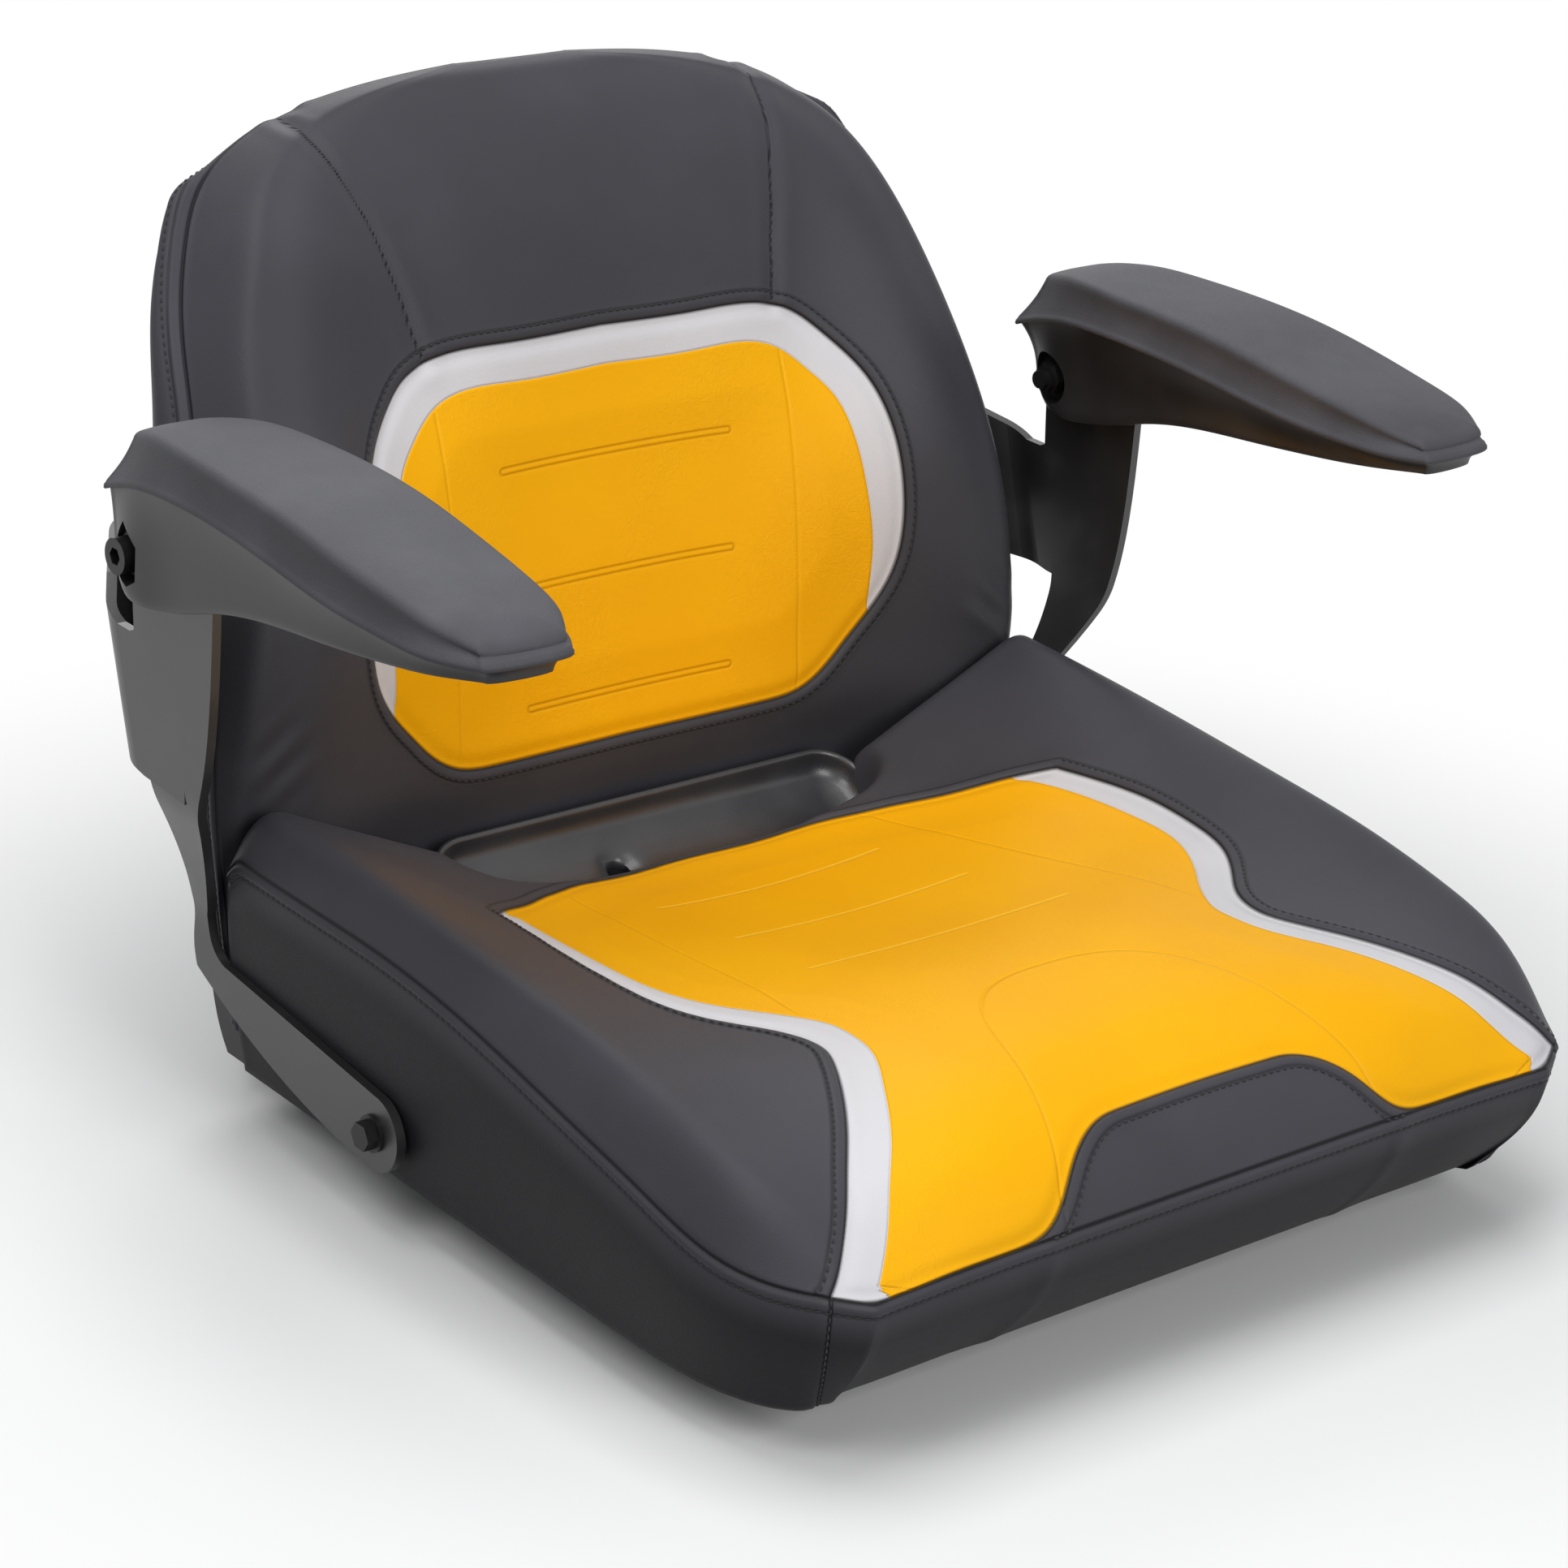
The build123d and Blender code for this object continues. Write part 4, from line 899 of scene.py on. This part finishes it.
def sum_of(tree, *values):
    """The sum of values and sockets."""
    total = values[0]
    for value in values[1:]:
        total = maths(tree, "ADD", total, value)
    return total


def product(tree, *values):
    """The product of values and sockets."""
    total = values[0]
    for value in values[1:]:
        total = maths(tree, "MULTIPLY", total, value)
    return total


def ramp(tree, value, low, high, start=0.0, stop=1.0):
    """A smooth step of a value from low to high."""
    given = {"Value": value, "From Min": low, "From Max": high, "To Min": start, "To Max": stop}
    return add_node(tree, "ShaderNodeMapRange", given, interpolation_type="SMOOTHSTEP").outputs["Result"]


def mix_colour(tree, share, first, second):
    """A mix of two colours."""
    first, second = ((*end, 1.0) if isinstance(end, tuple) else end for end in (first, second))
    return add_node(tree, "ShaderNodeMix", {0: share, 6: first, 7: second}, data_type="RGBA").outputs[2]


def new_group(name, inputs, outputs):
    """An empty shader node group, with a place or floats as inputs and floats as outputs."""
    tree = bpy.data.node_groups.new(name, "ShaderNodeTree")
    for label, value in inputs.items():
        kind = "NodeSocketVector" if value is None else "NodeSocketFloat"
        socket = tree.interface.new_socket(label, in_out="INPUT", socket_type=kind)
        if value is not None:
            socket.default_value = value
    for label in outputs:
        tree.interface.new_socket(label, in_out="OUTPUT", socket_type="NodeSocketFloat")
    return tree, tree.nodes.new("NodeGroupInput").outputs, tree.nodes.new("NodeGroupOutput").inputs


def grain_group():
    """Fine pebble grain of vinyl and moulded skins, in mm."""
    inputs = {"Place": None, "Grain Size": 0.9, "Depth": 0.05}
    tree, given, put = new_group("fine_grain", inputs, ("Height", "Speckle"))
    scale = maths(tree, "DIVIDE", 1000.0, given["Grain Size"])
    bend = noise(tree, given["Place"], scale, 2.0)
    cells = add_node(tree, "ShaderNodeTexVoronoi", {"Vector": given["Place"], "Scale": scale}, feature="F1")
    pebble = maths(tree, "SUBTRACT", 1.0, cells.outputs["Distance"])
    height = sum_of(tree, product(tree, pebble, 0.65), product(tree, bend, 0.5))
    tree.links.new(product(tree, height, given["Depth"]), put["Height"])
    tree.links.new(bend, put["Speckle"])
    return tree


def crease_group():
    """Soft pulled creases of stretched vinyl, in mm."""
    inputs = {"Place": None, "Spacing": 18.0, "Depth": 0.2}
    tree, given, put = new_group("soft_creases", inputs, ("Height", "Patch"))
    scale = maths(tree, "DIVIDE", 1000.0, given["Spacing"])
    wide = noise(tree, given["Place"], 14.0, 2.0)
    fold = noise(tree, given["Place"], scale, 5.0, Roughness=0.62, Distortion=1.4)
    sharp = maths(tree, "ABSOLUTE", maths(tree, "SUBTRACT", fold, 0.5))
    line = ramp(tree, sharp, 0.0, 0.09)
    patch = ramp(tree, wide, 0.42, 0.62)
    tree.links.new(product(tree, line, patch, given["Depth"]), put["Height"])
    tree.links.new(patch, put["Patch"])
    return tree


def end_in_groove(tree, given, put, off, narrow):
    """Ends a group with a bell-shaped groove about off = 0."""
    bell = maths(tree, "POWER", math.e, product(tree, off, off, -narrow))
    tree.links.new(product(tree, bell, given["Depth"], -1.0), put["Height"])
    tree.links.new(bell, put["Mask"])
    return tree


def groove_group():
    """A groove at a distance from a sewn line, in mm."""
    inputs = {"Distance": 0.0, "Middle": 0.0, "Width": 1.0, "Depth": 1.0}
    tree, given, put = new_group("sewn_groove", inputs, ("Height", "Mask"))
    off = maths(tree, "SUBTRACT", given["Distance"], given["Middle"])
    return end_in_groove(tree, given, put, maths(tree, "DIVIDE", off, given["Width"]), 1.0)


def slot_group():
    """The outline of a long pressed slot, in mm, from a place across and along it."""
    inputs = {"Across": 0.0, "Along": 0.0, "Half Length": 70.0, "Half Width": 2.6, "Depth": 0.5}
    tree, given, put = new_group("pressed_slot", inputs, ("Height", "Mask"))
    past = maths(tree, "SUBTRACT", maths(tree, "ABSOLUTE", given["Along"]), given["Half Length"])
    past = maths(tree, "MAXIMUM", past, 0.0)
    across = product(tree, given["Across"], given["Across"])
    away = maths(tree, "SQRT", sum_of(tree, across, product(tree, past, past)))
    return end_in_groove(tree, given, put, maths(tree, "SUBTRACT", away, given["Half Width"]), 1.6)


def use_group(tree, name, sockets):
    """One of the shared effects, placed in a material."""
    return add_node(tree, "ShaderNodeGroup", sockets, node_tree=GROUPS[name]).outputs


def new_material(name):
    """A material with its shader and the place on the object."""
    made = bpy.data.materials.new(name)
    made.use_nodes = True
    tree = made.node_tree
    shader = tree.nodes["Principled BSDF"]
    place = tree.nodes.new("ShaderNodeTexCoord").outputs["Object"]
    return made, tree, shader, place


def put_bump(tree, shader, height, distance=1.0):
    """Feeds a height in mm to the shader's normal."""
    bump = add_node(tree, "ShaderNodeBump", {"Height": height, "Distance": MM * distance, "Strength": 1.0})
    tree.links.new(bump.outputs["Normal"], shader.inputs["Normal"])


def sewn_vinyl(name, slots, slot_axis, creases, skirt_shade, slot_half, slot_painted_light):
    """Black vinyl with a bright inlay and pale strips, sewn along the cushion's own lines."""
    made, tree, shader, place = new_material(name)
    read = {key: add_node(tree, "ShaderNodeAttribute", attribute_name=key).outputs["Fac"]
            for key in ("panel", "inlay", "seam", "crease", "press")}

    def groove(distance, middle, width, depth):
        given = {"Distance": distance, "Middle": middle, "Width": width, "Depth": depth}
        return use_group(tree, "sewn_groove", given)

    axes = add_node(tree, "ShaderNodeSeparateXYZ", {0: place}).outputs
    across_x = product(tree, axes[0], 1000.0)
    level = product(tree, axes[slot_axis], 1000.0)
    black_side = ramp(tree, read["panel"], -BORDER_BLUR, BORDER_BLUR)
    strip_side = ramp(tree, read["inlay"], -BORDER_BLUR, BORDER_BLUR)
    colour_side = maths(tree, "SUBTRACT", 1.0, black_side)
    bright = product(tree, colour_side, maths(tree, "SUBTRACT", 1.0, strip_side))
    grain = use_group(tree, "fine_grain", {"Place": place, "Grain Size": 1.0, "Depth": 0.085})
    pulls = use_group(tree, "soft_creases", {"Place": place, "Spacing": 9.0, "Depth": 0.07})
    wide = noise(tree, place, 9.0, 3.0)
    fold = groove(read["panel"], 0.0, 0.9, 1.1)
    row = groove(read["panel"], FOLD_STITCH, 1.0, 0.45)
    joint = groove(read["inlay"], 0.0, 0.7, 0.5)
    edge = groove(read["seam"], 0.0, 0.9, 1.1)
    edge_row = groove(read["seam"], SEAM_STITCH, 1.0, 0.45)
    arch = groove(read["press"], 0.0, 1.0, 0.45)
    head = groove(read["crease"], 0.0, 0.8, 1.2)
    heights = [grain["Height"], product(tree, pulls["Height"], bright)]
    heights += [line["Height"] for line in (fold, row, edge, edge_row, head, arch)]
    heights.append(product(tree, joint["Height"], colour_side))
    pressed = []
    slot_masks = []
    for middle, reach in slots:
        off = maths(tree, "SUBTRACT", level, middle)
        slot = use_group(tree, "pressed_slot", {"Across": off, "Along": across_x, "Half Length": reach,
                                                "Half Width": slot_half, "Depth": 0.45})
        pressed.append(slot["Height"])
        slot_masks.append(slot["Mask"])
    for (start, stop), low, high in creases:
        given = {"Value": level, "From Min": low, "From Max": high, "To Min": start, "To Max": stop}
        shift = add_node(tree, "ShaderNodeMapRange", given).outputs[0]
        off = maths(tree, "SUBTRACT", maths(tree, "ABSOLUTE", across_x), shift)
        line = groove(off, 0.0, 1.1, 0.4)
        span = product(tree, ramp(tree, level, low - 6, low + 6), ramp(tree, level, high + 6, high - 6))
        pressed.append(product(tree, line["Height"], span))
    heights.append(product(tree, sum_of(tree, *pressed), bright))
    put_bump(tree, shader, sum_of(tree, *heights))
    patchy = ramp(tree, wide, 0.3, 0.7)
    dark = mix_colour(tree, patchy, *BLACK_VINYL)
    # painted shade: the skirt goes darker below the edge seam, by skirt_shade
    dark = mix_colour(tree, ramp(tree, read["seam"], 7.0, 26.0, 0.0, skirt_shade), dark, SKIRT_PAINTED_SHADE)
    yellow = mix_colour(tree, patchy, *YELLOW_VINYL)
    specks = product(tree, pulls["Patch"], ramp(tree, grain["Speckle"], 0.4, 0.7), 0.25)
    yellow = mix_colour(tree, specks, yellow, YELLOW_SPECK)
    # painted light along the pressed slots: lighter yellow as a highlight on the seat, darker yellow as a
    # shadow line on the back
    yellow = mix_colour(tree, product(tree, sum_of(tree, *slot_masks), 0.5), yellow, slot_painted_light)
    colour = mix_colour(tree, strip_side, yellow, mix_colour(tree, patchy, *PALE_VINYL))
    colour = mix_colour(tree, black_side, colour, dark)
    # painted shade: darker in the folded panel edge, the edge seam and the head creases, and along the sunk
    # stitch rows
    shade = maths(tree, "MINIMUM", sum_of(tree, fold["Mask"], head["Mask"], edge["Mask"]), 1.0)
    rows = product(tree, sum_of(tree, row["Mask"], edge_row["Mask"]), black_side, 0.55)
    colour = mix_colour(tree, product(tree, shade, 0.8), colour, PAINTED_GROOVE_SHADE)
    colour = mix_colour(tree, rows, colour, PAINTED_GROOVE_SHADE)
    tree.links.new(colour, shader.inputs["Base Color"])
    rough = sum_of(tree, product(tree, grain["Speckle"], 0.16), product(tree, wide, 0.10), 0.34)
    tree.links.new(rough, shader.inputs["Roughness"])
    shader.inputs["Specular IOR Level"].default_value = 0.14
    return made


def patchy_colour(tree, shader, wide, low, colour, gain):
    """Gives a shader a colour with lighter patches."""
    lighter = tuple(min(c * gain + 0.004, 1) for c in colour)
    mixed = mix_colour(tree, ramp(tree, wide, low, 0.75), colour, lighter)
    tree.links.new(mixed, shader.inputs["Base Color"])


def moulded_plastic(name, colour, roughness, size, depth, gloss=0.5):
    """Moulded black plastic or skin with its own grain."""
    made, tree, shader, place = new_material(name)
    grain = use_group(tree, "fine_grain", {"Place": place, "Grain Size": size, "Depth": depth})
    wide = noise(tree, place, 22.0, 4.0)
    patchy_colour(tree, shader, wide, 0.3, colour, 1.35)
    rough = sum_of(tree, product(tree, grain["Speckle"], 0.12), product(tree, wide, 0.14), roughness - 0.13)
    tree.links.new(rough, shader.inputs["Roughness"])
    put_bump(tree, shader, grain["Height"])
    shader.inputs["Specular IOR Level"].default_value = gloss
    return made


def coated_steel(name, colour, metallic, roughness, gloss=0.5):
    """Powder coat or plating with a slight orange peel and scuffs."""
    made, tree, shader, place = new_material(name)
    peel = noise(tree, place, 520.0, 2.0)
    wide = noise(tree, place, 30.0, 5.0)
    patchy_colour(tree, shader, wide, 0.45, colour, 1.5)
    tree.links.new(sum_of(tree, product(tree, wide, 0.2), roughness - 0.1), shader.inputs["Roughness"])
    shader.inputs["Metallic"].default_value = metallic
    put_bump(tree, shader, product(tree, peel, 0.035))
    shader.inputs["Specular IOR Level"].default_value = gloss
    return made


def thread_material(name, colour):
    """Twisted sewing thread."""
    made, tree, shader, place = new_material(name)
    given = {"Vector": place, "Scale": 900.0, "Distortion": 1.5}
    twist = add_node(tree, "ShaderNodeTexWave", given).outputs[1]
    lighter = tuple(c * 2.2 for c in colour)
    tree.links.new(mix_colour(tree, twist, colour, lighter), shader.inputs["Base Color"])
    put_bump(tree, shader, product(tree, twist, 0.06))
    shader.inputs["Roughness"].default_value = 0.75
    return made


def spaced_row(line, facing):
    """Places, run and facing of stitches at an even pitch along a line."""
    run = run_along(line)
    places = np.arange(STITCH_PITCH / 2, run[-1], STITCH_PITCH)
    spots = read_at(places, run, line)
    return spots, read_at(places + 0.8, run, line) - spots, read_at(places, run, facing)


def stitch_row(cover, line, turn):
    """Stitches beside a drawn line on a cover."""
    base = cover.lifted(line)
    normals = unit(cover.lifted(line, cover.normals()))
    beside = base + np.cross(normals, unit(np.gradient(base, axis=0))) * FOLD_STITCH * turn
    return spaced_row(cover.lifted(cover.flat(beside)), normals)


def skirt_row(skirts, axes):
    """Stitches along a skirt, beside its edge seam."""
    ring = skirts[SEAM_ROWS.index(SEAM_STITCH)]
    out = np.zeros_like(ring)
    out[:, axes] = rim_directions(ring, axes)
    return spaced_row(ring, out)


def make_stitches(name, rows):
    """Short stitches of thread, each dipping into the cover at both ends."""
    angles = np.arange(STITCH_SIDES) * 2 * math.pi / STITCH_SIDES
    points = []
    faces = []
    count = 0
    last = (len(STITCH_STATIONS) - 1) * STITCH_SIDES
    for spots, ahead, facing in rows:
        ahead = unit(ahead)
        across = unit(np.cross(facing, ahead))
        up = np.cross(ahead, across)
        for spot, a, c, u in zip(spots, ahead, across, up):
            for share, girth, rise in STITCH_STATIONS:
                middle = spot + a * share * STITCH_LENGTH + u * rise
                radius = STITCH_RADIUS * girth
                points += [middle + (c * math.cos(t) + u * math.sin(t)) * radius for t in angles]
            for low in range(count, count + last, STITCH_SIDES):
                faces += band(low, low + STITCH_SIDES, STITCH_SIDES)
            faces.append([count + j for j in range(STITCH_SIDES)][::-1])
            faces.append([count + last + j for j in range(STITCH_SIDES)])
            count += last + STITCH_SIDES
    return make_mesh(name, points, faces)


def dress(piece, material, body):
    """Gives a piece its finish and its body."""
    piece.data.materials.clear()
    piece.data.materials.append(material)
    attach(piece, body)


def seen_rays(tree):
    """1 for the rays that show the background: straight, mirrored or through glass."""
    path = tree.nodes.new("ShaderNodeLightPath").outputs
    seen = path["Is Camera Ray"]
    for name in ("Is Glossy Ray", "Is Transmission Ray"):
        seen = maths(tree, "MAXIMUM", seen, path[name])
    return seen


def floor_material():
    """Pale floor that keeps the shadow and goes over to plain white away from the object."""
    made, tree, shader, place = new_material("pale_floor")
    seen = seen_rays(tree)
    tree.links.new(mix_colour(tree, seen, (0.2, 0.2, 0.21), (0.9, 0.9, 0.9)), shader.inputs["Base Color"])
    shader.inputs["Roughness"].default_value = 0.9
    reach = add_node(tree, "ShaderNodeVectorMath", {0: place}, operation="LENGTH").outputs["Value"]
    share = product(tree, ramp(tree, reach, 0.4, 0.8), seen)
    white = add_node(tree, "ShaderNodeEmission", {"Color": (1.0, 1.0, 1.0, 1.0), "Strength": 1.0})
    mix = add_node(tree, "ShaderNodeMixShader", {0: share, 1: shader.outputs[0], 2: white.outputs[0]})
    tree.links.new(mix.outputs[0], tree.nodes["Material Output"].inputs["Surface"])
    return made


def make_studio():
    """Pale floor, white surroundings, soft lamps and the camera."""
    scene = bpy.context.scene
    scene.view_settings.view_transform = "Standard"
    camera = bpy.data.objects.new("camera", bpy.data.cameras.new("camera"))
    scene.collection.objects.link(camera)
    camera.data.lens = CAMERA_LENS
    camera.data.sensor_width = 36
    camera.matrix_world = Matrix.Translation(CAMERA_PLACE) @ Matrix(CAMERA_TURN).to_4x4()
    scene.camera = camera

    world = bpy.data.worlds.new("studio")
    world.use_nodes = True
    tree = world.node_tree
    tree.nodes.clear()
    fill = add_node(tree, "ShaderNodeBackground", {"Color": (0.93, 0.96, 1.0, 1.0), "Strength": FILL_LIGHT})
    white = add_node(tree, "ShaderNodeBackground", {"Color": (1.0, 1.0, 1.0, 1.0), "Strength": 1.0})
    mix = add_node(tree, "ShaderNodeMixShader", {0: seen_rays(tree), 1: fill.outputs[0], 2: white.outputs[0]})
    out = tree.nodes.new("ShaderNodeOutputWorld")
    tree.links.new(mix.outputs[0], out.inputs[0])
    scene.world = world

    corners = [(-FLOOR_HALF, -FLOOR_HALF, -1), (FLOOR_HALF, -FLOOR_HALF, -1), (FLOOR_HALF, FLOOR_HALF, -1),
               (-FLOOR_HALF, FLOOR_HALF, -1)]
    floor = make_mesh("studio_floor", corners, [[0, 1, 2, 3]])
    floor.data.materials.append(floor_material())

    for name, place, aim, size, power in LAMPS:
        data = bpy.data.lights.new(name, "AREA")
        data.size = size
        data.energy = power
        lamp = bpy.data.objects.new(name, data)
        scene.collection.objects.link(lamp)
        lamp.location = place
        lamp.rotation_euler = (Vector(aim) - Vector(place)).to_track_quat("-Z", "Y").to_euler()


make_studio()
GROUPS = {
    "fine_grain": grain_group(),
    "soft_creases": crease_group(),
    "sewn_groove": groove_group(),
    "pressed_slot": slot_group(),
}

lines = sewn_lines()
seat_piece, seat_face, seat_skirts, seat_corners = make_seat_cover(lines)
back_piece, back_face, back_skirts = make_back_cover(lines)
# the seat's pressed slots get a painted highlight of lighter yellow, the back's a painted shadow of darker
# yellow
# the seat's skirts get more painted shade (0.86) than the back's border (0.25)
seat_vinyl = sewn_vinyl("seat_vinyl", [(78.7, 72.7), (13.0, 75.9), (-53.7, 84.3)], 1,
                        [((130.0, 100.0), -98.0, 127.0)], 0.86, 0.4, (1.0, 0.62, 0.06))
back_vinyl = sewn_vinyl("back_vinyl", [(305.0, 73.8), (243.0, 71.0), (180.0, 66.0)], 2,
                        [((112.5, 112.7), 158.0, 342.0)], 0.25, 1.7, (0.6, 0.25, 0.001))
dress(seat_piece, seat_vinyl, "seat")
dress(back_piece, back_vinyl, "seat")
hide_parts("seat_cushion")
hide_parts("back_cushion")

black_thread = thread_material("black_thread", (0.007, 0.007, 0.008))
scoop = lines["seat_front"][np.abs(lines["seat_front"][:, 0]) < SCOOP_HALF]
seat_rows = [stitch_row(seat_face, scoop, 1)]
for side in (-1, 1):
    seat_rows.append(stitch_row(seat_face, lines["seat_strip"] * (side, 1), side))
seat_rows.append(skirt_row(seat_skirts, [0, 1]))
for seam_line, facing in seat_corners:
    seat_rows.append(spaced_row(seam_line, np.tile((facing[0], facing[1], 0.0), (len(seam_line), 1))))
back_rows = [stitch_row(back_face, lines["back_panel"], 1), skirt_row(back_skirts, [0, 2])]
for name, rows in (("seat_stitches", seat_rows), ("back_stitches", back_rows)):
    dress(make_stitches(name, rows), black_thread, "seat")

FINISHES = {
    "pan_plastic": moulded_plastic("pan_plastic_skin", (0.018, 0.018, 0.02), 0.5, 1.2, 0.08),
    "tray_plastic": moulded_plastic("tray_plastic_skin", (0.026, 0.026, 0.029), 0.32, 0.9, 0.05, 0.6),
    "switch_plastic": moulded_plastic("switch_plastic_skin", (0.03, 0.03, 0.03), 0.45, 0.8, 0.02),
    "bracket_paint": coated_steel("bracket_coat", (0.016, 0.016, 0.017), 0.0, 0.36, 0.85),
    "bolt_black": coated_steel("bolt_oxide", (0.02, 0.02, 0.021), 0.6, 0.38),
    "washer_black": coated_steel("washer_oxide", (0.02, 0.02, 0.021), 0.6, 0.42),
    "insert_steel": coated_steel("insert_zinc", (0.6, 0.6, 0.58), 1.0, 0.35),
    "arm_plastic": moulded_plastic("arm_base_skin", (0.018, 0.018, 0.02), 0.4, 0.6, 0.02, 0.4),
    "pad_skin": moulded_plastic("arm_pad_skin", (0.052, 0.052, 0.06), 0.6, 0.9, 0.17, 0.25),
}
slots = {entry["node"]: entry["material_slot"] for entry in frame["record"]["subparts"]}
for name, node in frame["nodes"].items():
    if slots[name] in FINISHES:
        node.data.materials.clear()
        node.data.materials.append(FINISHES[slots[name]])

tray, spout = make_tray("drain_bowl")
for piece in (tray, spout):
    dress(piece, FINISHES["tray_plastic"], "seat")
    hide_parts("drain_tray")

for hand, side in (("left", 1), ("right", -1)):
    body = f"armrest_{hand}"
    pad = make_arm_pad(f"soft_pad_{hand}", side)
    dress(pad, FINISHES["pad_skin"], body)
    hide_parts(f"arm_pad_{hand}")
    base = make_arm_base(f"moulded_base_{hand}", side)
    fit_hub(base, side)
    dress(base, FINISHES["arm_plastic"], body)
    base.data.set_sharp_from_angle(angle=math.radians(38))
    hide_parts(f"arm_base_{hand}")
